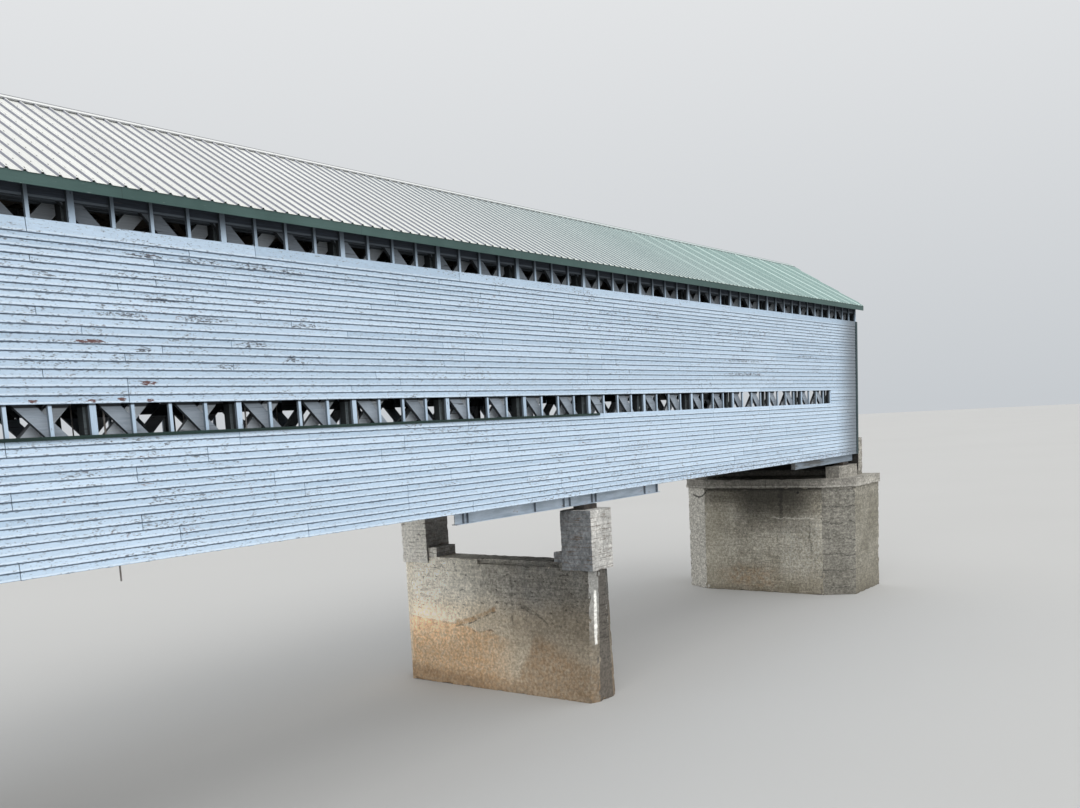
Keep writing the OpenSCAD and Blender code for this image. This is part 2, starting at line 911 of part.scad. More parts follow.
// Overlapping boards on the end wall, cut to an outline that is drawn across
// the bridge and up
module end_boards(z0, courses, course) {
    color(paint)
        intersection() {
            translate([frame_x, stud_y, z0]) rotate([90, 0, 0]) linear_extrude(2 * stud_y)
                board_section(repeated(courses, course));
            translate([frame_x - 1, 0, 0]) rotate([90, 0, 90]) linear_extrude(siding_t + 2) children();
        }
}

// Three bands of boards around the opening: beside it, beside its slanting
// corners and over it
module portal_siding_right() {
    side_h = portal_corner_z - siding_z - butt_gap;
    side_courses = round(side_h / lower_course);
    corner_h = portal_corner - butt_gap;
    corner_courses = round(corner_h / lower_course);
    gable_y = roof_peak - batten_v;
    gable_courses = ceil((gable_y - portal_top) / lower_course);
    for (side = [-1, 1]) {
        end_boards(siding_z, side_courses, side_h / side_courses)
            polygon([
                [side * portal_half, siding_z], [side * stud_y, siding_z],
                [side * stud_y, portal_corner_z], [side * portal_half, portal_corner_z]
            ]);
        end_boards(portal_corner_z, corner_courses, corner_h / corner_courses)
            polygon([
                [side * portal_half, portal_corner_z], [side * stud_y, portal_corner_z],
                [side * stud_y, portal_top], [side * (portal_half - portal_corner), portal_top]
            ]);
    }
    end_boards(portal_top, gable_courses, lower_course)
        polygon([
            [-stud_y, portal_top], [stud_y, portal_top], [stud_y, gable_y - stud_y * rise],
            [0, gable_y], [-stud_y, gable_y - stud_y * rise]
        ]);
}

module portal_siding_left() {
    mirror([1, 0, 0]) portal_siding_right();
}

// Boards on the siding around each portal opening, mitred where they meet
module portal_trim() {
    miter = casing_w * tan(22.5);
    inner = portal_half - portal_corner;
    g = butt_gap;
    color(trim) both_ends()
        translate([wall_x, 0, 0]) rotate([90, 0, 90]) linear_extrude(corner_t) {
            for (side = [-1, 1]) {
                polygon([
                    [side * portal_half, siding_z], [side * (portal_half + casing_w), siding_z],
                    [side * (portal_half + casing_w), portal_corner_z + miter],
                    [side * portal_half, portal_corner_z]
                ]);
                polygon([
                    [side * (portal_half - g), portal_corner_z + g],
                    [side * (portal_half + casing_w - g), portal_corner_z + miter + g],
                    [side * (inner + miter + g), portal_top + casing_w - g],
                    [side * (inner + g), portal_top - g]
                ]);
            }
            polygon([
                [-inner, portal_top], [inner, portal_top],
                [inner + miter, portal_top + casing_w], [-inner - miter, portal_top + casing_w]
            ]);
        }
}

// Timbers around each portal opening: two jambs, a head and two corner pieces
module portal_frames() {
    slant = portal_corner - butt_gap;
    color(timber) both_ends()
        translate([frame_x - portal_d, 0, 0]) rotate([90, 0, 90]) linear_extrude(portal_d) {
            for (side = [-1, 1]) {
                polygon([
                    [side * portal_half, deck_top], [side * truss_in_y, deck_top],
                    [side * truss_in_y, truss_top], [side * portal_half, truss_top]
                ]);
                polygon([
                    [side * (portal_half - butt_gap), portal_top - butt_gap],
                    [side * (portal_half - butt_gap), portal_top - slant],
                    [side * (portal_half - slant), portal_top - butt_gap]
                ]);
            }
            translate([-portal_half + butt_gap, portal_top])
                square([2 * (portal_half - butt_gap), portal_d]);
        }
}

pier();
pedestal_near();
pedestal_far();
abutment_left();
abutment_right();
bridge_seat_left();
bridge_seat_right();
bearing_blocks();
bearing_plates();
pier_girders();
end_bolsters();
lower_chords();
upper_chords();
outer_lattice_near();
outer_lattice_far();
inner_lattice_near();
inner_lattice_far();
posts();
tie_rods();
studs();
floor_beams();
deck();
wheel_guards();
lower_bracing();
tie_beams();
upper_bracing();
knee_braces();
wall_plates();
rafters();
ridge_board();
roof_battens();
roof_near();
roof_far();
ridge_cap();
fascia_boards();
upper_siding_near();
upper_siding_far();
lower_siding_near();
lower_siding_far();
end_infill();
sill_boards();
corner_boards();
portal_siding_left();
portal_siding_right();
portal_trim();
portal_frames();
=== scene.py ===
# Visual model of the covered bridge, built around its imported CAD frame
import math
import random
from functools import reduce

import bmesh
import bpy
import numpy as np
from mathutils import Matrix, Vector, noise


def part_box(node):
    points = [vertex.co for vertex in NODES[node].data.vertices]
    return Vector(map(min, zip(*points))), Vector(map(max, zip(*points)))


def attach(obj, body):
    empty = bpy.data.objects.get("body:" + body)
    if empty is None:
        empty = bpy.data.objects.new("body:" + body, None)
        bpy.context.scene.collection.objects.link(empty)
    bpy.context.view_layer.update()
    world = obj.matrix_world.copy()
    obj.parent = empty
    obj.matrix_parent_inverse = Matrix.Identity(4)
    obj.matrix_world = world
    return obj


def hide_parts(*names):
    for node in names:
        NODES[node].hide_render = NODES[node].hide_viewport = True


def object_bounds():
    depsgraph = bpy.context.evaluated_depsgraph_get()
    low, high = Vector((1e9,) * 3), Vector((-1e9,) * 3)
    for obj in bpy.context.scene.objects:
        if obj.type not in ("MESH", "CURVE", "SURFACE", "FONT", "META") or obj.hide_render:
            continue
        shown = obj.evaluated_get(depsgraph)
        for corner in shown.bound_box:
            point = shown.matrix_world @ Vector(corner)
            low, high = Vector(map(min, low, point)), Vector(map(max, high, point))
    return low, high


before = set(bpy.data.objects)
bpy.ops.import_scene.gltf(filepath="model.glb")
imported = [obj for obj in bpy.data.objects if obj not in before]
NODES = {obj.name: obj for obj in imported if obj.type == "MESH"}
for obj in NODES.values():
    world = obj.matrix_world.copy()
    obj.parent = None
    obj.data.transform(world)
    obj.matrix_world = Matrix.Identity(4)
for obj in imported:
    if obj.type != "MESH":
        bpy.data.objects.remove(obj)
cad_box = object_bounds()

# Sizes shared with the CAD frame, in metres

PANEL = 2.65
PANELS = 14
STUD_STEP = PANEL / 4
END_X = PANEL * PANELS / 2
PITCH = math.radians(31.3)
ROOF_PEAK = 12.97062
RIB_PITCH = 0.255
SHEET_WIDTH = 4 * RIB_PITCH
RIB_H = 0.024
SHEET_T = 0.006
PORTAL_HALF = 2.43
PORTAL_TOP = 10.215
PORTAL_CORNER = 0.62
WINDOW_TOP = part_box("upper_siding_near")[0].z
STUD_Y = -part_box("lower_siding_near")[1].y
FACE_Y = 3.1
FRAME_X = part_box("lower_siding_near")[1].x
X_AXIS = Vector((1, 0, 0))
Y_AXIS = Vector((0, 1, 0))
Z_AXIS = Vector((0, 0, 1))

# Shader helpers


class Shade:
    """One node material, built from short calls. Values and sockets mix freely.

    color is the colour so far, which tint and shade change.
    """

    def __init__(self, name, **settings):
        self.mat = bpy.data.materials.new(name)
        self.mat.use_nodes = True
        self.tree = self.mat.node_tree
        self.shader = self.tree.nodes["Principled BSDF"]
        for key, value in settings.items():
            self.shader.inputs[key.replace("_", " ")].default_value = value
        self.where = self.tree.nodes.new("ShaderNodeTexCoord").outputs["Object"]
        self.color = None

    def make(self, kind, inputs, **props):
        node = self.tree.nodes.new("ShaderNode" + kind)
        for key, value in props.items():
            setattr(node, key, value)
        for key, value in inputs.items():
            if isinstance(value, bpy.types.NodeSocket):
                self.tree.links.new(value, node.inputs[key])
            else:
                node.inputs[key].default_value = value
        return node

    def calc(self, operation, a, b=0.0):
        return self.make("Math", {0: a, 1: b}, operation=operation).outputs[0]

    def times(self, a, b):
        return self.calc("MULTIPLY", a, b)

    def plus(self, value, other, share):
        """value with this share of other added."""
        return self.calc("ADD", value, self.times(other, share))

    def size(self, value):
        return self.calc("ABSOLUTE", value)

    def all_of(self, *masks):
        return reduce(self.times, masks)

    def any_of(self, *masks):
        return reduce(lambda a, b: self.calc("MAXIMUM", a, b), masks)

    def repeat(self, value, pitch, shift=0.0):
        """Rises from 0 to 1 over every pitch."""
        return self.calc("FRACT", self.calc("ADD", self.calc("DIVIDE", value, pitch), shift))

    def off_middle(self, value, pitch, shift=0.0):
        """Distance from the middle of every pitch, as a share of it."""
        return self.size(self.calc("SUBTRACT", self.repeat(value, pitch, shift), 0.5))

    def each(self, value, pitch):
        """A random tone for every pitch."""
        count = self.calc("FLOOR", self.calc("DIVIDE", value, pitch))
        return self.make("TexWhiteNoise", {"W": count}, noise_dimensions="1D").outputs["Value"]

    def place(self, scale, turn=(0, 0, 0)):
        """Object coordinates, scaled and turned by these degrees."""
        spin = [math.radians(a) for a in turn]
        settings = {"Vector": self.where, "Scale": scale, "Rotation": spin}
        return self.make("Mapping", settings).outputs[0]

    def axes(self, vector=None):
        return self.make("SeparateXYZ", {0: vector or self.where}).outputs

    def facing(self):
        return self.axes(self.make("NewGeometry", {}).outputs["Normal"])

    def attribute(self, name):
        return self.make("Attribute", {}, attribute_name=name).outputs["Fac"]

    def field(self, scale, turn=(0, 0, 0)):
        """Inputs of a texture. scale is its cells in a metre, or one number for each axis."""
        if isinstance(scale, tuple):
            return {"Vector": self.place(scale, turn), "Scale": 1.0}
        return {"Vector": self.where, "Scale": scale}

    def noise(self, scale, detail=4.0, rough=0.55, distort=0.0, seed=None, turn=(0, 0, 0)):
        settings = self.field(scale, turn)
        settings.update({"Detail": detail, "Roughness": rough, "Distortion": distort})
        dimensions = "3D"
        if seed:
            settings["W"] = self.times(seed, 40.0)
            dimensions = "4D"
        return self.make("TexNoise", settings, noise_dimensions=dimensions).outputs["Fac"]

    def spots(self, scale):
        """Distance to the nearest of many scattered points."""
        return self.make("TexVoronoi", self.field(scale)).outputs["Distance"]

    def step(self, value, low, high):
        """Rises softly from 0 at low to 1 at high, which may be the smaller one."""
        settings = {0: value, 1: low, 2: high}
        return self.make("MapRange", settings, interpolation_type="SMOOTHSTEP").outputs[0]

    def within(self, value, low, high, soft):
        """1 between low and high and 0 outside, with soft ends."""
        rising = self.step(value, low - soft, low + soft)
        return self.all_of(rising, self.step(value, high + soft, high - soft))

    def mix(self, factor, a, b, mode="MIX"):
        inputs = {0: factor}
        for key, value in ((6, a), (7, b)):
            inputs[key] = (*value, 1.0) if isinstance(value, tuple) else value
        return self.make("Mix", inputs, data_type="RGBA", blend_type=mode).outputs[2]

    def shaded(self, color, factor, low, high):
        """color, made darker or lighter as factor goes from 0 to 1."""
        amount = self.make("MapRange", {0: factor, 3: low, 4: high}).outputs[0]
        level = self.make("CombineXYZ", {0: amount, 1: amount, 2: amount}).outputs[0]
        return self.mix(1.0, color, level, "MULTIPLY")

    def shade(self, factor, low, high):
        self.color = self.shaded(self.color, factor, low, high)

    def tint(self, mask, amount, other):
        self.color = self.mix(self.times(mask, amount), self.color, other)

    def path(self, value, points):
        """Height of straight lines through (value, height) points."""
        total = points[0][1]
        for (a, low), (b, high) in zip(points, points[1:]):
            rise = self.make("MapRange", {0: value, 1: a, 2: b, 3: 0.0, 4: high - low}).outputs[0]
            total = self.calc("ADD", rise, total)
        return total

    def stroke(self, value, height, points, width):
        """A brush stroke of this half-width through (value, height) points."""
        off = self.size(self.calc("SUBTRACT", height, self.path(value, points)))
        inside = self.within(value, points[0][0], points[-1][0], 0.04)
        return self.all_of(self.step(off, width, width * 0.4), inside)

    def below(self, value, height, points, soft):
        """1 under straight lines through (value, height) points."""
        over = self.calc("SUBTRACT", height, self.path(value, points))
        return self.step(over, soft, -soft)

    def near_any(self, places):
        """1 close to any of these (x, z, half-length, half-height) places."""
        total = 0.0
        for x, z, half_l, half_h in places:
            scale = (1 / half_l, 0, 1 / half_h)
            settings = {0: self.where, 1: scale, 2: (-x / half_l, 0, -z / half_h)}
            off = self.make("VectorMath", settings, operation="MULTIPLY_ADD").outputs[0]
            away = self.make("VectorMath", {0: off}, operation="LENGTH").outputs["Value"]
            total = self.calc("MAXIMUM", self.step(away, 1.1, 0.4), total)
        return total

    def bump(self, height, distance, strength, normal=None):
        settings = {"Height": height, "Distance": distance, "Strength": strength}
        if normal:
            settings["Normal"] = normal
        return self.make("Bump", settings).outputs[0]

    def done(self, rough=None, normal=None):
        for key, socket in (("Base Color", self.color), ("Roughness", rough), ("Normal", normal)):
            if socket:
                self.tree.links.new(socket, self.shader.inputs[key])
        return self.mat


# Materials

PAINT = (0.57, 0.705, 0.85)
PAINT_OLD = (0.46, 0.59, 0.73)
# Painted shadow with dirt, in the seams under the boards
SEAM_SHADOW_AND_DIRT = (0.03, 0.05, 0.085)
BARE = (0.075, 0.085, 0.105)
BARE_RED = (0.14, 0.075, 0.072)
# Bare inner wood, darkened further as painted shade
INNER_WOOD_AND_SHADE = (0.028, 0.024, 0.020)
# The bare back of the sheets, darkened as painted shade
UNDERSIDE_SHADE = (0.07, 0.075, 0.075)

# Places where the near wall has lost much of its paint: x, z, half-length, half-height
WORN = [
    (-12.1, 10.02, 0.60, 0.05), (-11.11, 10.02, 0.55, 0.06), (-10.09, 10.01, 0.55, 0.09),
    (-9.3, 9.98, 0.5, 0.07), (-11.9, 9.35, 0.6, 0.05), (-12.6, 9.10, 0.6, 0.05),
    (-9.98, 9.43, 0.20, 0.05), (-11.16, 9.09, 0.70, 0.07), (-9.13, 9.08, 0.60, 0.06),
    (-10.18, 8.71, 0.55, 0.07), (-9.41, 8.49, 0.22, 0.11), (-10.76, 8.34, 0.45, 0.06),
    (-12.30, 8.58, 0.30, 0.05), (8.75, 8.73, 2.0, 0.06), (8.63, 8.32, 2.1, 0.06),
    (13.6, 8.95, 1.2, 0.05),
]
WORN_RED = [
    (-13.20, 8.69, 0.34, 0.045), (-12.28, 8.07, 0.21, 0.05), (-14.16, 7.82, 0.10, 0.035),
    (-13.26, 7.81, 0.11, 0.035), (-12.76, 7.83, 0.11, 0.035), (-12.28, 7.81, 0.09, 0.035),
]


def painted_boards(name, along):
    """Pale blue paint on boards that run along x or y, chipped in places."""
    s = Shade(name, Roughness=0.6, Specular_IOR_Level=0.3)
    flip = along == "y"
    tone = s.attribute("tone")
    level = s.attribute("level")
    head = s.attribute("head")
    x, y, z = s.axes()
    nx, ny, nz = s.facing()

    def stretched(length, width):
        return (width, length, width) if flip else (length, width, width)

    grain = s.noise(stretched(4, 90), 5, 0.65, 0.0, tone)
    mottle = s.noise(stretched(7, 30), 6, 0.75, 0.4)
    cloud = s.noise(0.35, 3, 0.6)
    s.color = s.mix(tone, PAINT_OLD, PAINT)
    s.shade(grain, 0.92, 1.06)
    s.shade(mottle, 0.80, 1.20)
    s.shade(cloud, 0.95, 1.05)
    # Painted highlight just above the lower edge of each board
    light = s.all_of(s.step(level, 0.014, 0.022), s.step(level, 0.055, 0.026))
    s.tint(light, 0.6, (0.76, 0.86, 0.95))
    worn = s.step(s.noise(stretched(0.9, 5), 3, 0.6, 0.0, tone), 0.44, 0.60)
    worn = s.all_of(worn, s.step(cloud, 0.35, 0.6), 0.62)
    red = 0.0
    if not flip:
        near = s.step(y, 0.0, -1.0)
        red = s.all_of(s.near_any(WORN_RED), near)
        bare_edge = s.all_of(s.step(z, 5.80, 5.40), s.step(x, -4.0, 6.0))
        placed = s.all_of(s.near_any(WORN), near)
        worn = s.any_of(worn, placed, s.times(red, 1.5), s.times(bare_edge, 0.7))
        s.shade(s.step(z, 8.6, 6.4), 0.96, 1.05)
    edge = s.any_of(s.step(level, 0.034, 0.014), s.step(head, 0.040, 0.022))
    flakes = s.plus(s.noise(stretched(12, 48), 4, 0.68, 0.6, tone), worn, 0.13)
    rim = s.step(flakes, 0.612, 0.628)
    gone = s.step(flakes, 0.628, 0.652)
    specks = s.plus(s.noise(stretched(16, 60), 3, 0.6, 0.4, tone), edge, 0.075)
    gone = s.any_of(gone, s.times(s.step(specks, 0.618, 0.655), 0.85))
    brown = s.step(s.noise(stretched(0.9, 3), 2, 0.5, 0.0, tone), 0.60, 0.66)
    bare = s.mix(s.any_of(s.times(brown, 0.7), red), BARE, BARE_RED)
    # Pale rims round the chips, painted highlights on their lifted edges
    s.tint(rim, 0.5, (0.80, 0.88, 0.95))
    s.tint(gone, s.plus(0.68, worn, 0.27), bare)
    knot_ring = s.within(s.spots(stretched(1.1, 4.2)), 0.018, 0.034, 0.008)
    s.tint(knot_ring, 0.7, (0.10, 0.12, 0.15))
    # Painted shade on the lower edge of each board
    lip_shade = s.step(level, 0.015, 0.010)
    s.tint(lip_shade, 0.5, (0.12, 0.17, 0.24))
    # Painted shadow under the next board, with dirt, along each seam
    uneven = s.noise(stretched(2.5, 3), 3, 0.6, 0.0, tone)
    seam = s.step(s.plus(head, uneven, -0.022), 0.010, 0.003)
    s.tint(seam, 0.76, SEAM_SHADOW_AND_DIRT)
    if flip:
        inside = s.step(s.times(nx, x), 0.0, -6.0)
    else:
        # Painted shade at the end of the near wall
        end_shade = s.all_of(s.step(x, 16.2, 18.4), near)
        s.tint(end_shade, 0.85, (0.14, 0.155, 0.17))
        inside = s.step(s.times(ny, y), 0.0, -0.9)
    # Bare wood on the inner faces, darkened further as painted shade
    s.tint(inside, 0.95, INNER_WOOD_AND_SHADE)
    normal = s.bump(grain, 0.0015, 0.6)
    normal = s.bump(s.calc("SUBTRACT", 1.0, gone), 0.0012, 0.7, normal)
    return s.done(s.step(grain, -0.6, 1.2), normal)


def timber(name, turn, light, dark, plank, painted=0.0, truss_shade=False, lip=None):
    """Sawn grey timber. turn rotates the grain, which runs along x, into place.

    Every plank's width has its own tone. painted is the share of old paint.
    truss_shade adds painted shade high under the eaves, on edge faces and on inner faces, and a
    painted shadow under the wall boards.
    lip is the height of a lower edge with painted light, paler than the rest.
    """
    s = Shade(name, Roughness=0.82, Specular_IOR_Level=0.25)
    x, y, z = s.axes()
    nx, ny, nz = s.facing()
    tone = s.each(s.axes(s.place((1, 1, 1), turn))[2], plank)
    grain = s.noise((2.2, 45, 45), 6, 0.7, 0.6, turn=turn)
    band = s.noise((0.35, 5, 5), 4, 0.6, turn=turn)
    split = s.step(s.noise((0.7, 26, 26), 2, 0.5, 1.2, turn=turn), 0.33, 0.3)
    s.color = s.mix(s.step(grain, 0.25, 0.75), dark, light)
    s.shade(tone, 0.78, 1.14)
    s.shade(band, 0.8, 1.2)
    s.tint(split, 0.75, (0.05, 0.05, 0.055))
    if painted:
        left = s.all_of(s.step(s.size(ny), 0.6, 0.8), s.step(band, 0.62, 0.5))
        s.tint(left, painted, s.shaded(s.mix(0.5, PAINT, PAINT_OLD), grain, 0.86, 1.04))
    if lip:
        # Painted light on the lower edge
        s.tint(s.within(z, lip, lip + 0.035, 0.006), 0.6, (0.13, 0.155, 0.18))
    if truss_shade:
        # Painted shade high under the eaves, a painted shadow under the wall boards over the
        # openings, and painted shade on edge faces and inner faces
        s.shade(s.step(z, 10.05, 10.70), 1.0, 0.34)
        s.shade(s.within(z, WINDOW_TOP - 0.035, WINDOW_TOP + 0.2, 0.01), 1.0, 0.12)
        s.shade(s.step(s.size(ny), 0.7, 0.4), 1.0, 0.22)
        s.shade(s.step(s.times(ny, y), 0.2, -0.8), 1.0, 0.30)
    return s.done(None, s.bump(grain, 0.002, 0.5))


def stud_paint(name):
    """Painted studs, pale in the wall openings, with painted shade high under the eaves."""
    s = Shade(name, Roughness=0.6, Specular_IOR_Level=0.3)
    x, y, z = s.axes()
    nx, ny, nz = s.facing()
    tone = s.each(s.calc("ADD", x, 99.0), STUD_STEP)
    grain = s.noise((45, 45, 3), 5, 0.65)
    chips = s.step(s.noise((30, 30, 7), 4, 0.6), 0.66, 0.69)
    s.color = s.mix(tone, PAINT_OLD, PAINT)
    s.shade(grain, 0.75, 1.2)
    s.tint(chips, 0.75, BARE)
    # Painted shade high under the eaves, a painted shadow under the wall boards over the
    # openings, and painted shade on the sides and inner faces
    s.shade(s.step(z, 10.30, 10.78), 0.92, 0.20)
    s.shade(s.within(z, WINDOW_TOP - 0.02, WINDOW_TOP + 0.2, 0.01), 1.0, 0.15)
    s.shade(s.step(s.size(nx), 0.4, 0.7), 1.0, 0.30)
    s.shade(s.step(s.times(ny, y), 0.2, -0.8), 1.0, 0.25)
    return s.done(None, s.bump(grain, 0.0015, 0.5))


def trim_paint(name, light, dark):
    """Dark green paint with joints between boards and pale chalky wear."""
    s = Shade(name, Roughness=0.55, Specular_IOR_Level=0.35)
    x = s.axes()[0]
    board = 4.88
    grain = s.noise((2.0, 40, 40), 5, 0.6)
    joint = s.step(s.repeat(s.calc("ADD", x, 100.4), board), 0.0012, 0.0006)
    chalk = s.step(s.noise((3, 8, 30), 5, 0.7), 0.66, 0.72)
    s.color = s.mix(s.step(s.noise(0.6, 4, 0.6), 0.3, 0.7), dark, light)
    s.shade(grain, 0.85, 1.15)
    s.tint(joint, 1.0, (0.01, 0.015, 0.015))
    s.tint(chalk, 0.5, (0.30, 0.36, 0.36))
    return s.done(None, s.bump(grain, 0.001, 0.4))


def roofing(name):
    """Painted steel: chalky white with a painted sky reflection at one end, green at the other,
    with painted shade and grime beside the ribs.
    """
    s = Shade(name, Roughness=0.35, Specular_IOR_Level=0.5)
    x = s.axes()[0]
    nx, ny, nz = s.facing()
    far = s.step(x, -9.0, 16.0)
    sheet = s.each(x, SHEET_WIDTH)
    streak = s.noise((9, 0.5, 0.5), 5, 0.6)
    cloud = s.noise(0.5, 3, 0.5)
    # The white end is partly chalky paint and partly a painted sky reflection
    s.color = s.mix(far, (0.78, 0.79, 0.755), (0.45, 0.60, 0.56))
    s.shade(cloud, 0.92, 1.06)
    s.shade(sheet, 0.96, 1.03)
    s.shade(streak, 0.88, 1.08)
    off = s.times(s.off_middle(x, RIB_PITCH, 0.5), RIB_PITCH)
    # Painted shade along a low rib between the main ribs
    low_rib_shade = s.within(off, 0.082, 0.090, 0.004)
    s.shade(low_rib_shade, 1.0, 0.80)
    # Painted shade and grime on the rib flanks and on the flats beside them
    flank = s.all_of(s.step(off, 0.010, 0.016), s.step(off, 0.052, 0.040))
    tilt = s.step(s.size(nx), 0.2, 0.6)
    rib_shade_and_grime = s.any_of(s.times(flank, 0.85), s.times(tilt, 0.95))
    s.tint(rib_shade_and_grime, 1.0, s.mix(far, (0.16, 0.17, 0.21), (0.20, 0.30, 0.285)))
    # Painted highlight along the laps between the sheets towards the green end
    lap_highlight = s.within(s.repeat(x, SHEET_WIDTH), 0.945, 0.99, 0.008)
    lap_highlight = s.all_of(lap_highlight, s.step(far, 0.55, 0.9), s.calc("ADD", sheet, 0.2))
    s.tint(lap_highlight, 0.55, (0.66, 0.80, 0.76))
    # Painted shade on the bare underside
    s.tint(s.step(nz, 0.0, -0.3), 0.9, UNDERSIDE_SHADE)
    rough = s.make("MapRange", {0: streak, 3: 0.28, 4: 0.46}).outputs[0]
    return s.done(rough, s.bump(cloud, 0.01, 0.3))


def ridge_paint(name):
    """Chalky cap, white with a painted sky reflection at one end and green at the other, with
    dark edges and seams between its lengths.
    """
    s = Shade(name, Roughness=0.4, Specular_IOR_Level=0.5)
    x, y, z = s.axes()
    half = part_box("ridge_cap")[1].y
    length = 3.05
    away = s.size(y)
    # The white end is partly chalky paint and partly a painted sky reflection
    s.color = s.mix(s.step(x, -6.0, 14.0), (0.76, 0.77, 0.75), (0.52, 0.64, 0.61))
    s.shade(s.noise(1.2, 4, 0.6), 0.9, 1.08)
    s.tint(s.step(away, half * 0.80, half * 0.86), 0.85, (0.12, 0.13, 0.15))
    s.tint(s.step(away, half * 0.36, half * 0.24), 0.9, (0.13, 0.14, 0.16))
    s.tint(s.step(s.repeat(x, length, 0.25), 0.006, 0.003), 0.8, (0.15, 0.17, 0.17))
    # Painted shade on the bare underside
    s.tint(s.step(s.facing()[2], 0.0, -0.3), 0.9, UNDERSIDE_SHADE)
    return s.done()


def concrete(name, light, dark, boards, lines, stain, speckle=0.34):
    """Old cast concrete: form-board lines, pores and runs of dirt.

    lines is how strongly the joints of the form boards show, stain adds what
    is special to one piece, and speckle is how strongly its mottling shows.
    """
    s = Shade(name, Roughness=0.88, Specular_IOR_Level=0.25)
    x, y, z = s.axes()
    cloud = s.noise(0.9, 6, 0.62)
    fine = s.noise(8.0, 6, 0.78)
    grit = s.noise(21.0, 5, 0.8)
    run = s.noise((3.2, 3.2, 0.35), 5, 0.6)
    brushed = s.noise((1.5, 1.5, 22), 5, 0.7)
    mottle = s.noise(13.0, 2, 0.55)
    s.color = s.mix(s.step(cloud, 0.3, 0.7), dark, light)
    s.shade(s.step(fine, 0.30, 0.70), 1.0 - speckle, 1.0 + speckle)
    s.shade(s.step(grit, 0.32, 0.68), 0.70, 1.30)
    s.shade(run, 0.78, 1.16)
    s.shade(s.step(brushed, 0.3, 0.7), 0.80, 1.20)
    s.shade(s.each(z, boards), 0.93, 1.06)
    line = s.step(s.off_middle(z, boards), 0.5 - 0.016 / boards, 0.5 - 0.004 / boards)
    line = s.all_of(line, s.step(s.noise((1.3, 1.3, 3.9), 3), 0.42, 0.6))
    s.tint(line, lines, (0.06, 0.055, 0.05))
    pores = s.step(s.spots(11.0), 0.13, 0.06)
    s.tint(pores, 0.5, (0.09, 0.085, 0.075))
    stain(s, x, y, z, cloud, fine)
    s.shade(s.step(mottle, 0.34, 0.66), 0.82, 1.18)
    normal = s.bump(s.plus(cloud, fine, 0.5), 0.010, 0.7)
    normal = s.bump(s.calc("SUBTRACT", 1.0, line), 0.004, 0.7, normal)
    return s.done(None, normal)


# Dirt, and painted shadow in the middle of the seat
DIRT_AND_SHADE = (0.07, 0.065, 0.055)
RUST_STAIN = (0.61, 0.39, 0.21)
SAND = (0.62, 0.51, 0.36)
LIME = (0.88, 0.87, 0.82)


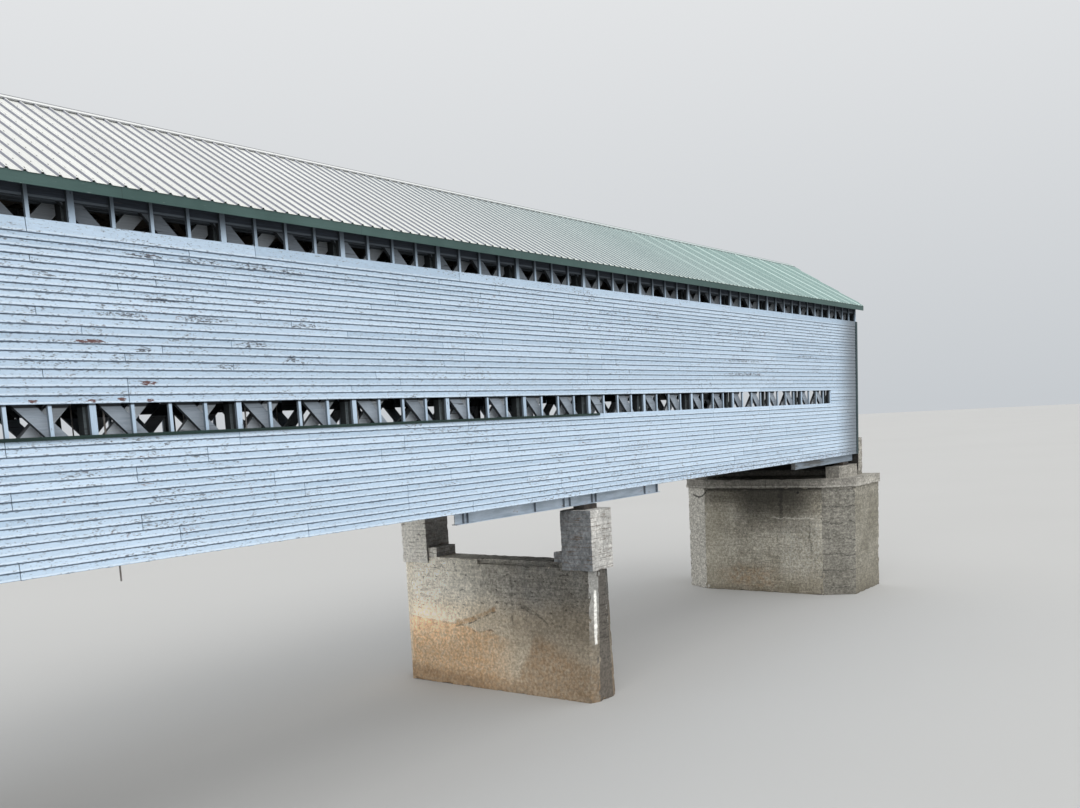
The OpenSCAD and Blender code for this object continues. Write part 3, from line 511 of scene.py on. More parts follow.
def pier_stain(s, x, y, z, cloud, fine):
    """Orange river stain low down with ragged tide lines, grey above, streaks and lime."""
    nx, ny, nz = s.facing()
    rag = s.calc("SUBTRACT", s.noise(3.0, 6, 0.75), 0.5)
    up = s.plus(z, rag, 0.28)
    across = s.plus(y, rag, 0.35)
    grain = s.step(s.noise(16.0, 5, 0.8), 0.3, 0.7)
    broken = s.step(s.noise(5.0, 5, 0.75), 0.38, 0.58)
    mostly = s.calc("ADD", broken, 0.3)
    flecks = s.step(s.noise(7.0, 5, 0.8), 0.35, 0.62)
    s.tint(s.step(up, 2.9, 1.9), 0.60, s.shaded(SAND, grain, 0.82, 1.15))
    grey = s.all_of(s.step(up, 2.0, 2.7), s.step(across, 0.2, -1.2), s.step(cloud, 0.35, 0.6))
    s.tint(grey, 0.45, (0.20, 0.215, 0.225))
    warm = s.all_of(s.step(up, 2.1, 2.6), s.step(across, -0.3, 1.2))
    s.tint(warm, 0.42, (0.63, 0.60, 0.52))
    bright = s.all_of(s.step(up, 3.45, 3.6), s.step(fine, 0.40, 0.60))
    s.tint(bright, 0.45, (0.64, 0.62, 0.56))
    fading = s.all_of(s.step(up, 1.60, 1.80), s.step(up, 2.45, 1.85))
    s.tint(s.all_of(s.within(across, 0.85, 3.3, 0.12), fading), 0.55, (0.72, 0.64, 0.51))
    patch = s.all_of(s.within(y, 1.89, 3.4, 0.015), s.within(z, 2.21, 4.4, 0.02))
    s.tint(patch, 0.25, (0.60, 0.56, 0.48))
    combed = s.step(s.noise((1, 2.2, 18), 4, 0.7), 0.52, 0.58)
    s.tint(s.all_of(patch, combed), 0.5, (0.26, 0.235, 0.20))
    left_edge = [
        (-1.00, 1.35), (-0.20, 1.50), (0.17, 1.60), (0.56, 1.56), (0.95, 1.68),
        (1.38, 1.74), (1.87, 1.74), (2.59, 1.80), (3.3, 1.86),
    ]
    left = s.below(y, s.plus(z, rag, 0.14), left_edge, 0.05)
    left = s.all_of(left, s.step(across, -0.9, 0.6))
    orange = s.shaded(RUST_STAIN, grain, 0.74, 1.22)
    s.tint(s.all_of(left, flecks), 0.75, orange)
    s.tint(left, 0.36, orange)
    right_edge = [
        (-3.3, 0.86), (-2.98, 0.98), (-2.15, 1.30), (-1.40, 1.60), (-1.15, 1.1), (-0.75, 0.4),
    ]
    right = s.below(y, up, right_edge, 0.24)
    s.tint(s.all_of(right, flecks), 0.60, (0.36, 0.215, 0.105))
    s.tint(right, 0.35, (0.36, 0.25, 0.15))
    ribbon = [(-0.05, 2.25), (0.35, 2.08), (0.86, 1.86), (1.38, 1.76)]
    s.tint(s.all_of(s.stroke(y, up, ribbon, 0.10), mostly), 0.65, (0.40, 0.25, 0.13))
    under_ribbon = [(value, height - 0.08) for value, height in ribbon]
    left_tide = [(0.0, 1.60), (0.17, 1.61), (0.56, 1.56), (0.8, 1.62)]
    right_tide = [(0.9, 1.68), (1.38, 1.74), (1.87, 1.74), (2.59, 1.80), (3.1, 1.85)]
    smear = [(-1.81, 1.90), (-1.59, 2.08), (-1.24, 2.27), (-0.81, 2.36)]
    for points, width, amount, tone in (
        (under_ribbon, 0.03, 0.75, DIRT_AND_SHADE), (left_tide, 0.035, 0.7, (0.20, 0.13, 0.08)),
        (right_tide, 0.03, 0.5, (0.30, 0.20, 0.11)), (smear, 0.07, 0.7, DIRT_AND_SHADE),
    ):
        s.tint(s.all_of(s.stroke(y, up, points, width), broken), amount, tone)
    line = s.all_of(s.within(across, -0.75, -0.1, 0.06), s.within(up, 2.39, 2.45, 0.02))
    s.tint(s.all_of(line, broken), 0.6, DIRT_AND_SHADE)
    streak = s.all_of(s.within(across, -0.66, -0.56, 0.05), s.within(z, 1.8, 3.2, 0.25))
    s.tint(s.all_of(streak, mostly), 0.40, DIRT_AND_SHADE)
    specks = s.step(s.noise((6, 6, 14), 3, 0.6), 0.62, 0.66)
    s.tint(s.all_of(specks, s.step(z, 1.4, 2.4)), 0.65, DIRT_AND_SHADE)
    wet = s.step(s.plus(up, y, -0.10), 0.36, 0.05)
    s.tint(wet, 0.35, (0.17, 0.125, 0.085))

    # Painted light and shade across the face, high up and low down
    high = s.path(y, [
        (-3.0, 0.33), (-2.1, 0.38), (-1.2, 0.52), (-0.4, 0.82), (0.5, 1.14), (1.5, 1.58),
        (2.4, 1.95),
    ])
    low = s.path(y, [(-3.0, 0.55), (-2.1, 0.74), (-1.2, 0.84), (-0.4, 1.05), (2.5, 1.08)])
    brightest = 2.5
    level = s.plus(low, s.calc("SUBTRACT", high, low), s.step(up, 0.8, 1.9))
    s.shade(s.calc("DIVIDE", level, brightest), 0.0, brightest)

    # The nose, the blunt end and the slanting face with its run of lime
    nose = s.all_of(s.within(ny, 0.25, 0.42, 0.05), s.step(up, 0.3, 0.7))
    s.tint(nose, 0.55, (0.78, 0.70, 0.56))
    end = s.step(ny, -0.90, -0.97)
    s.tint(end, 0.84, (0.115, 0.105, 0.093))
    scored = s.step(s.noise((1.5, 1.5, 14), 4, 0.7), 0.54, 0.60)
    s.tint(s.all_of(end, scored, s.step(z, 0.4, 1.6)), 0.6, (0.035, 0.032, 0.027))
    slant = s.all_of(s.within(ny, -0.97, -0.80, 0.03), s.step(nx, -0.15, -0.30))
    s.tint(s.all_of(slant, s.step(up, 1.2, 2.4)), 0.5, (0.46, 0.46, 0.44))
    middle = s.plus(-0.30, s.calc("SUBTRACT", z, 2.2), 0.043)
    off = s.plus(s.size(s.calc("SUBTRACT", x, middle)), rag, 0.06)
    lime = s.all_of(slant, s.step(off, 0.046, 0.028), s.within(up, 1.5, 2.9, 0.05))
    s.tint(lime, 0.92, LIME)


def cap_stain(s, x, y, z, cloud, fine):
    """Painted shade and light: one pedestal is shaded towards the spans, the other lit. Both have
    dark board lines.
    """
    nx, ny, nz = s.facing()
    span_face = s.step(nx, -0.6, -0.85)
    side_face = s.step(ny, -0.6, -0.85)
    here = s.step(y, 0.5, -0.5)
    there = s.step(y, -0.5, 0.5)
    # Painted shade on the near pedestal towards the spans and on the far one's inner side,
    # painted light on the far one towards the spans and on the near one's outer side
    span_shade = s.shaded((0.13, 0.14, 0.15), s.step(fine, 0.3, 0.7), 0.6, 1.5)
    s.tint(s.all_of(span_face, here), 0.90, span_shade)
    s.tint(s.all_of(span_face, there), 0.85, (0.95, 0.92, 0.84))
    s.tint(s.all_of(side_face, there), 0.72, (0.11, 0.105, 0.10))
    s.tint(s.all_of(side_face, here), 0.25, (0.70, 0.69, 0.66))
    scored = s.step(s.noise((2.6, 2.6, 17), 5, 0.7, 0.3), 0.57, 0.62)
    s.tint(scored, 0.65, (0.12, 0.085, 0.06))
    broken = s.step(s.noise((2, 2, 14), 4, 0.7), 0.46, 0.56)
    line = s.all_of(s.step(s.off_middle(z, CAP_BOARD), 0.38, 0.46), broken)
    s.tint(line, 0.45, (0.12, 0.085, 0.06))


def abutment_stain(s, x, y, z, cloud, fine):
    """Darker under the middle of the seat, runs, cracks, rough corners, painted shade in a hole
    and a painted shadow under the seat.
    """
    nx, ny, nz = s.facing()
    rag = s.calc("SUBTRACT", s.noise(2.2, 6, 0.75), 0.5)
    up = s.plus(z, rag, 0.5)
    across = s.plus(y, rag, 0.7)
    front = s.step(s.size(nx), 0.92, 0.97)
    speckle = s.step(s.noise(10.0, 5, 0.8), 0.42, 0.60)
    bright = s.all_of(s.step(across, -0.4, -1.2), s.within(up, 0.6, 2.9, 0.4), speckle, front)
    s.tint(bright, 0.55, (0.52, 0.51, 0.46))
    dark_under_seat = s.all_of(s.within(across, -1.9, 1.0, 0.6), s.step(up, 2.0, 3.7), front)
    s.tint(dark_under_seat, 0.85, (0.045, 0.042, 0.035))
    left_part = s.all_of(s.step(across, 1.0, 2.2), s.step(up, 3.8, 3.0), front)
    s.tint(left_part, 0.35, (0.56, 0.52, 0.42))
    top = s.all_of(s.step(up, 3.3, 3.95), front)
    s.tint(top, 0.5, (0.06, 0.055, 0.045))
    streak = s.all_of(s.within(across, -0.90, -0.74, 0.05), s.within(z, 3.0, 4.2, 0.2), front)
    s.tint(streak, 0.6, (0.03, 0.028, 0.025))
    flecks = s.step(s.noise(6.0, 5, 0.8), 0.38, 0.60)
    rust = s.all_of(s.within(across, -0.4, 1.6, 0.7), s.within(up, 0.2, 0.9, 0.35), front, flecks)
    s.tint(rust, 0.60, (0.34, 0.20, 0.10))
    s.tint(s.step(up, 1.4, 0.5), 0.35, (0.15, 0.12, 0.07))
    s.tint(s.step(up, 0.35, 0.0), 0.5, (0.13, 0.11, 0.08))
    seam = s.all_of(s.within(y, -2.2, -0.4, 0.05), s.within(up, 2.93, 2.97, 0.015), front)
    s.tint(seam, 0.55, (0.70, 0.67, 0.60))
    upright = s.all_of(
        s.within(across, -2.03, -1.99, 0.015), s.within(z, 1.66, 2.86, 0.05), front
    )
    s.tint(upright, 0.7, DIRT_AND_SHADE)
    # Painted shade in a hole
    hole_shade = s.make("VectorMath", {0: s.where, 1: (16.38, -1.54, 3.96)}, operation="DISTANCE")
    s.tint(s.step(hole_shade.outputs["Value"], 0.06, 0.04), 0.9, (0.02, 0.02, 0.02))
    # Painted shadow along the top of the front, under the seat
    ledge_shadow = s.all_of(s.step(z, 3.98, 4.10), front)
    s.tint(ledge_shadow, 0.75, (0.03, 0.028, 0.025))

    # The sides and the slanting corners
    rough = s.step(s.noise((8.0, 8.0, 12.8), 6, 0.8), 0.42, 0.58)
    near = s.within(ny, -0.8, -0.2, 0.08)
    far = s.within(ny, 0.2, 0.8, 0.08)
    s.tint(s.step(ny, -0.90, -0.97), 0.50, (0.16, 0.15, 0.12))
    s.tint(near, 0.60, (0.21, 0.205, 0.185))
    s.tint(s.all_of(near, rough), 0.60, (0.075, 0.072, 0.062))
    crack = s.within(s.repeat(up, 0.62), 0.48, 0.52, 0.015)
    s.tint(s.all_of(near, crack), 0.7, (0.04, 0.038, 0.035))
    s.tint(far, 0.70, (0.80, 0.78, 0.72))
    s.tint(s.all_of(far, rough), 0.60, (0.16, 0.145, 0.12))
    curve = [
        (2.36, 4.14), (2.44, 3.98), (2.55, 3.87), (2.70, 3.80), (2.88, 3.77), (3.05, 3.79),
        (3.25, 3.86),
    ]
    s.tint(s.stroke(y, s.plus(z, rag, 0.12), curve, 0.05), 0.85, (0.02, 0.02, 0.018))


def seat_stain(s, x, y, z, cloud, fine):
    """Darker front faces with a painted shadow in the middle, a pale lower edge, a painted shadow
    on the back wall and one joint.
    """
    front = s.step(s.facing()[0], -0.6, -0.85)
    s.tint(front, 0.40, (0.10, 0.095, 0.085))
    # Painted shadow in the middle of the faces
    low = s.all_of(s.within(y, -1.7, 1.4, 0.5), s.step(cloud, 0.3, 0.6))
    s.tint(low, 0.45, DIRT_AND_SHADE)
    lip = s.all_of(s.within(z, 4.17, 4.22, 0.012), s.step(fine, 0.38, 0.5))
    s.tint(lip, 0.5, (0.55, 0.53, 0.48))
    # Painted shadow on the back wall
    back_wall_shadow = s.all_of(s.step(s.size(x), 16.95, 17.05), s.step(z, 4.6, 4.75), front)
    s.tint(back_wall_shadow, 0.9, (0.012, 0.011, 0.010))
    joint = s.within(y, -0.245, -0.225, 0.006)
    s.tint(joint, 0.8, (0.05, 0.045, 0.04))


def steel_paint(name):
    """Pale paint on steel with rust along runs and edges."""
    s = Shade(name, Roughness=0.5, Specular_IOR_Level=0.4)
    cloud = s.noise((1.2, 6, 6), 6, 0.65)
    fine = s.noise(30.0, 4, 0.6)
    rust = s.step(s.plus(cloud, fine, 0.25), 0.74, 0.82)
    s.color = s.mix(s.step(cloud, 0.3, 0.7), (0.36, 0.44, 0.52), (0.58, 0.67, 0.77))
    # Painted shade on faces turned along x, such as the stiffeners
    s.shade(s.step(s.size(s.facing()[0]), 0.5, 0.8), 1.0, 0.30)
    s.tint(rust, 0.8, (0.20, 0.095, 0.045))
    return s.done(s.step(rust, -1.2, 1.4), s.bump(fine, 0.001, 0.4))


def rusty_iron(name, dark, light):
    s = Shade(name, Roughness=0.72, Metallic=0.2)
    fine = s.noise(60.0, 4, 0.6)
    s.color = s.mix(s.step(s.noise(6.0, 6, 0.65), 0.35, 0.65), dark, light)
    s.shade(fine, 0.8, 1.2)
    return s.done(None, s.bump(fine, 0.0015, 0.6))


GREY = (0.40, 0.455, 0.52)
GREY_DARK = (0.29, 0.34, 0.395)
# Painted light: the same grey timber made paler for the rising planks
LIT_GREY = (0.78, 0.84, 0.90)
LIT_GREY_DARK = (0.62, 0.68, 0.74)
BROWN = (0.075, 0.062, 0.05)
BROWN_DARK = (0.032, 0.027, 0.022)
CROSSING = PANEL / 2 / math.sqrt(2)
PIER_BOARD = 0.16
CAP_BOARD = 0.105
ABUT_BOARD = 0.2
SEAT_BOARD = 0.17
ALONG_X = (0, 0, 0)
ALONG_Y = (0, 0, 90)
UPRIGHT = (0, 90, 0)
FALLING = (0, -45, 0)
RISING = (0, 45, 0)

BOARDS_X = painted_boards("painted_boards_along", "x")
BOARDS_Y = painted_boards("painted_boards_across", "y")
TRIM = trim_paint("green_trim", (0.062, 0.115, 0.106), (0.040, 0.082, 0.075))
CORNER_TRIM = trim_paint("corner_trim", (0.030, 0.058, 0.062), (0.018, 0.040, 0.044))
SILL_TRIM = trim_paint("green_sill", (0.014, 0.040, 0.033), (0.008, 0.024, 0.021))
ROOFING = roofing("green_roofing")
RIDGE_PAINT = ridge_paint("ridge_paint")
STEEL = steel_paint("painted_steel")
# Dark iron, darkened further as painted shade
DARK_IRON_AND_SHADE = rusty_iron("dark_iron_and_shade", (0.025, 0.023, 0.022), (0.06, 0.047, 0.037))
SCREW_IRON = rusty_iron("screw_iron", (0.02, 0.022, 0.025), (0.06, 0.06, 0.06))
ROD_IRON = rusty_iron("pale_rods", (0.22, 0.19, 0.17), (0.42, 0.42, 0.42))
PIER_CONCRETE = concrete(
    "pier_concrete", (0.56, 0.53, 0.46), (0.37, 0.35, 0.305), PIER_BOARD, 0.35, pier_stain
)
CAP_CONCRETE = concrete(
    "cap_concrete", (0.56, 0.545, 0.51), (0.36, 0.355, 0.335), CAP_BOARD, 0.5, cap_stain
)
ABUT_CONCRETE = concrete(
    "abutment_concrete", (0.46, 0.435, 0.37), (0.27, 0.25, 0.20), ABUT_BOARD, 0.3,
    abutment_stain, 0.38
)
SEAT_CONCRETE = concrete(
    "seat_concrete", (0.46, 0.44, 0.39), (0.27, 0.255, 0.225), SEAT_BOARD, 0.4, seat_stain
)
CHORD_WOOD = timber("chord_timber", ALONG_X, (0.19, 0.225, 0.265), (0.12, 0.145, 0.175), 0.29)
# The chord timber, darkened as painted shade under the eaves, with painted light on its lower
# edge
EAVE_SHADE_WOOD = timber(
    "eave_timber_in_shade", ALONG_X, (0.036, 0.045, 0.060), (0.016, 0.021, 0.029), 0.29, lip=10.685
)
FALL_WOOD = timber("falling_planks", FALLING, GREY, GREY_DARK, CROSSING, truss_shade=True)
RISE_WOOD = timber("rising_planks", RISING, LIT_GREY, LIT_GREY_DARK, CROSSING, truss_shade=True)
POST_WOOD = timber(
    "post_timber", UPRIGHT, (0.20, 0.235, 0.25), (0.12, 0.145, 0.155), PANEL, truss_shade=True
)
STUD_WOOD = stud_paint("painted_studs")
CROSS_WOOD = timber("cross_timber", ALONG_Y, BROWN, BROWN_DARK, 0.3)
FLOOR_WOOD = timber("floor_timber", ALONG_Y, (0.22, 0.20, 0.175), (0.10, 0.09, 0.08), 0.5)
LONG_WOOD = timber("long_timber", ALONG_X, BROWN, BROWN_DARK, 0.3)
BOLSTER_WOOD = timber(
    "bolster_timber", ALONG_X, (0.26, 0.27, 0.27), (0.09, 0.09, 0.09), 0.15, painted=0.45
)

# Mesh helpers

UNCOVERED = 9.0


def add_object(name, data):
    made = bpy.data.objects.new(name, data)
    bpy.context.scene.collection.objects.link(made)
    return made


class Solid:
    """Collects closed prisms and turns them into one mesh object."""

    def __init__(self):
        self.points = []
        self.faces = []
        self.tones = []
        self.levels = []
        self.heads = []

    def rail(self, section, stations, tone=0.5, covered=UNCOVERED):
        """Sweeps a section of (out, up) points through stations of (origin, out axis, up axis).

        covered is the height in the section where the next board begins.
        """
        start = len(self.points)
        size = len(section)
        for origin, out, up in stations:
            for u, v in section:
                self.points.append(origin + out * u + up * v)
                self.levels.append(v)
                self.heads.append(covered - v)
        made = []
        for k in range(len(stations) - 1):
            a = start + k * size
            for i in range(size):
                j = (i + 1) % size
                made.append((a + i, a + j, a + size + j, a + size + i))
        made.append(tuple(start + i for i in range(size)))
        last = start + (len(stations) - 1) * size
        made.append(tuple(last + i for i in reversed(range(size))))
        self.faces += made
        self.tones += [tone] * len(made)

    def object(self, name, material, slot, *nodes):
        mesh = bpy.data.meshes.new(name)
        mesh.from_pydata(self.points, [], self.faces)
        layer = mesh.attributes.new("tone", "FLOAT", "FACE")
        layer.data.foreach_set("value", self.tones)
        for key, values in (("level", self.levels), ("head", self.heads)):
            layer = mesh.attributes.new(key, "FLOAT", "POINT")
            layer.data.foreach_set("value", values)
        work = bmesh.new()
        work.from_mesh(mesh)
        bmesh.ops.recalc_face_normals(work, faces=work.faces)
        work.to_mesh(mesh)
        work.free()
        made = add_object(name, mesh)
        made.data.materials.append(material)
        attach(made, "root")
        if nodes:
            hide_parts(*nodes)


# Walls

GAP = 0.008
LIP = 0.007
END_GAP = 0.014
THICK = 0.0215
THIN = 0.012
SHORT_PIECE = 0.5
LOOSE_SHARE = 0.05
LOOSE_PUSH = 0.004
WAVE = 0.0024
UNEVEN = 0.0012
SPREAD = 0.002
BEHIND = 0.001
BOARD_CUTS = 4


def board_section(height, thick):
    """A clapboard with a rounded lower edge and a lip behind the next board."""
    return [
        (LIP, GAP), (thick - 0.004, GAP), (thick, GAP + 0.004),
        (THIN, height - 0.002), (THIN - 0.002, height), (LIP, height),
        (LIP, height + 2 * GAP), (0.0, height + 2 * GAP), (0.0, 3 * GAP), (LIP, 3 * GAP),
    ]


def joint_places(start, end, rng, shortest, longest):
    """Places of the joints between boards, on studs, with both ends."""
    places = [start]
    at = start + rng.randint(2, longest) * STUD_STEP
    while at < end - 2 * STUD_STEP:
        places.append(at)
        at += rng.randint(shortest, longest) * STUD_STEP
    return places + [end]


def boards(solid, origin, along, out, start, end, courses, rng,
           slant=None, lengths=(6, 12), share=1):
    """Courses of boards. slant gives, per course, (start, end, start lean, end lean).

    lengths are the fewest and most studs a board crosses, and share is the
    number of courses between changes of the joints.
    """
    z = 0.0
    joints = []
    for k, height in enumerate(courses):
        low, high, lean_a, lean_b = slant[k] if slant else (start, end, 0.0, 0.0)
        if k % share == 0:
            joints = joint_places(start, end, rng, *lengths)
        inner = [place for place in joints if low + SHORT_PIECE < place < high - SHORT_PIECE]
        places = [low] + inner + [high]
        last = len(places) - 2
        for i in range(last + 1):
            a = places[i] + (END_GAP / 2 if i else 0.0)
            b = places[i + 1] - (END_GAP / 2 if i < last else 0.0)
            loose = LOOSE_PUSH if rng.random() < LOOSE_SHARE else 0.0
            section = board_section(height, THICK - rng.random() * SPREAD)
            covered = height + GAP if k < len(courses) - 1 else UNCOVERED
            stations = []
            for j in range(BOARD_CUTS + 1):
                part = j / BOARD_CUTS
                rise = (rng.random() - 0.5) * WAVE
                push = rng.random() * UNEVEN + loose * part - BEHIND
                lean = 0.0
                if i == 0 and j == 0:
                    lean = lean_a
                if i == last and j == BOARD_CUTS:
                    lean = lean_b
                place = origin + along * (a + (b - a) * part) + Z_AXIS * (z + rise) + out * push
                stations.append((place, out, Z_AXIS + along * lean))
            solid.rail(section, stations, rng.random(), covered)
        z += height


UPPER = [0.126] * 11 + [0.102] * 10 + [0.19]
LOWER = [0.124] * 16
INFILL = [0.12] * 4


def wall(name, node, side, courses, seed, lengths, share):
    low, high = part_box(node)
    rng = random.Random(seed)
    solid = Solid()
    origin = Vector((0, side * STUD_Y, low.z))
    out = Y_AXIS * side
    boards(solid, origin, X_AXIS, out, low.x, high.x, courses, rng, None, lengths, share)
    solid.object(name, BOARDS_X, "paint", node)


wall("boards_upper_near", "upper_siding_near", -1, UPPER, 11, (6, 12), 1)
wall("boards_upper_far", "upper_siding_far", 1, UPPER, 12, (6, 12), 1)
wall("boards_lower_near", "lower_siding_near", -1, LOWER, 13, (6, 9), 2)
wall("boards_lower_far", "lower_siding_far", 1, LOWER, 14, (6, 9), 2)


def infill():
    """Boards that close the long openings in the last panels."""
    low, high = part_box("end_infill")
    rng = random.Random(15)
    solid = Solid()
    half_stud = 0.0525
    inner = END_X - PANEL + half_stud
    for side in (-1, 1):
        origin = Vector((0, side * STUD_Y, low.z))
        for start, end in ((low.x, -inner), (inner, high.x)):
            boards(solid, origin, X_AXIS, Y_AXIS * side, start, end, INFILL, rng)
    solid.object("boards_infill", BOARDS_X, "paint", "end_infill")


infill()


def portal_boards(name, node, end, seed):
    """End-wall boards, cut round the opening and along the roof."""
    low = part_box(node)[0]
    rng = random.Random(seed)
    solid = Solid()
    board = 0.124
    batten = 0.025
    clearance = 0.004
    beside_courses = 35
    corner_courses = 5
    shortest = 0.05
    gable = ROOF_PEAK - batten / math.cos(PITCH) - clearance
    corner_z = PORTAL_TOP - PORTAL_CORNER
    out = X_AXIS * end

    def edge(z):
        return min(STUD_Y, max((gable - z) / math.tan(PITCH), 0.01))

    def foot(z):
        return Vector((end * FRAME_X, 0, z))

    beside = [(corner_z - low.z) / beside_courses] * beside_courses
    corner = [PORTAL_CORNER / corner_courses] * corner_courses
    cut = [(PORTAL_HALF - k * corner[0], STUD_Y, -1.0, 0.0) for k in range(corner_courses)]
    for side in (-1, 1):
        along = Y_AXIS * side
        boards(solid, foot(low.z), along, out, PORTAL_HALF, STUD_Y, beside, rng)
        boards(solid, foot(corner_z), along, out, PORTAL_HALF, STUD_Y, corner, rng, cut)
    courses = []
    slant = []
    z = PORTAL_TOP
    while z < gable - shortest:
        height = min(board, gable - 0.02 - z)
        lean = (edge(z + height) - edge(z)) / height
        courses.append(height)
        slant.append((-edge(z), edge(z), -lean, lean))
        z += height
    boards(solid, foot(PORTAL_TOP), Y_AXIS, out, -STUD_Y, STUD_Y, courses, rng, slant)
    solid.object(name, BOARDS_Y, "paint", node)


portal_boards("boards_portal_left", "portal_siding_left", -1, 16)
portal_boards("boards_portal_right", "portal_siding_right", 1, 17)


def sill_aprons():
    """Moulded strips under the sill boards."""
    drop = 0.030
    sill_depth = 0.018
    near_end = 0.39
    solid = Solid()
    near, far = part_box("sill_boards")
    section = [
        (0.0, -drop), (0.008, -drop), (0.013, -drop + 0.006), (0.013, -0.010),
        (0.018, -0.004), (0.018, 0.0005), (0.0, 0.0005),
    ]
    for side, end in ((-1, near_end), (1, far.x)):
        face = side * (FACE_Y + sill_depth)
        ends = [(Vector((x, face, near.z)), Y_AXIS * side, Z_AXIS) for x in (near.x, end)]
        solid.rail(section, ends)
    solid.object("sill_aprons", SILL_TRIM, "trim")


sill_aprons()

# Floor


def deck_planks():
    low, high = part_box("deck")
    rng = random.Random(21)
    solid = Solid()
    gap = 0.004
    edge = 0.004
    unevenness = 0.003
    count = int((high.x - low.x) / 0.2405)
    pitch = (high.x - low.x) / count
    width = pitch - gap
    for i in range(count):
        x = low.x + i * pitch + gap / 2
        thick = high.z - low.z - rng.random() * unevenness
        section = [
            (edge, 0), (thick - edge, 0), (thick, edge), (thick, width - edge),
            (thick - edge, width), (edge, width), (0, width - edge), (0, edge),
        ]
        ends = [(Vector((x, y, low.z)), Z_AXIS, X_AXIS) for y in (low.y, high.y)]
        solid.rail(section, ends, rng.random())
    solid.object("deck_planks", FLOOR_WOOD, "timber", "deck")


deck_planks()

# Roof


def slope(side):
    """Outward and downhill directions of one side of the roof."""
    sine = math.sin(PITCH)
    cosine = math.cos(PITCH)
    return Vector((0, side * sine, cosine)), Vector((0, side * cosine, -sine))


def roof_screws():
    """Hexagonal screw heads with washers, in rows over the battens."""
    low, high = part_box("roof_near")
    eave_y = -low.y
    eave_x = 18.79
    spread = eave_y / math.cos(PITCH)
    rows = 12
    first_row = 0.16
    beside_rib = 0.058
    end_margin = 0.06
    solid = Solid()
    for side in (-1, 1):
        normal, down = slope(side)
        for r in range(rows):
            run = first_row + r * (spread - 0.30) / (rows - 1)
            y = run * math.cos(PITCH)
            reach = high.x - (high.x - eave_x) * y / eave_y - end_margin
            count = int(reach / RIB_PITCH)
            for i in range(-count, count + 1):
                x = i * RIB_PITCH + beside_rib
                base = Vector((x, 0, ROOF_PEAK)) + down * run + normal * SHEET_T
                for radius, z0, z1 in ((0.013, -0.001, 0.003), (0.008, 0.003, 0.009)):
                    turns = [a * math.pi / 3 for a in range(6)]
                    ring = [(radius * math.cos(a), radius * math.sin(a)) for a in turns]
                    solid.rail(ring, [(base + normal * z, X_AXIS, down) for z in (z0, z1)])
    solid.object("roof_screws", SCREW_IRON, "steel")


roof_screws()


def ridge_closures():
    """Strips that close the gaps between the ridge cap and the flats of the sheets."""
    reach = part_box("ridge_cap")[1].x - 0.01
    top = SHEET_T + RIB_H - 0.002
    inner = 0.185
    outer = 0.205
    section = [(inner, SHEET_T), (outer, SHEET_T), (outer, top), (inner, top)]
    solid = Solid()
    for side in (-1, 1):
        normal, down = slope(side)
        ends = [(Vector((x, 0, ROOF_PEAK)), down, normal) for x in (-reach, reach)]
        solid.rail(section, ends)
    solid.object("ridge_closures", ROOFING, "roofing")


ridge_closures()

# Concrete


def cut_places(low, high, step, corners):
    """Even cuts from low to high, closer together beside the corners."""
    closest = 0.008
    count = round((high - low) / step)
    places = [low + (high - low) * i / count for i in range(1, count)]
    for corner in corners:
        places += [corner + shift for shift in (-0.07, -0.035, -0.012, 0.012, 0.035, 0.07)]
    kept = [low]
    for place in sorted(places):
        if kept[-1] + closest < place < high - closest:
            kept.append(place)
    return kept[1:]


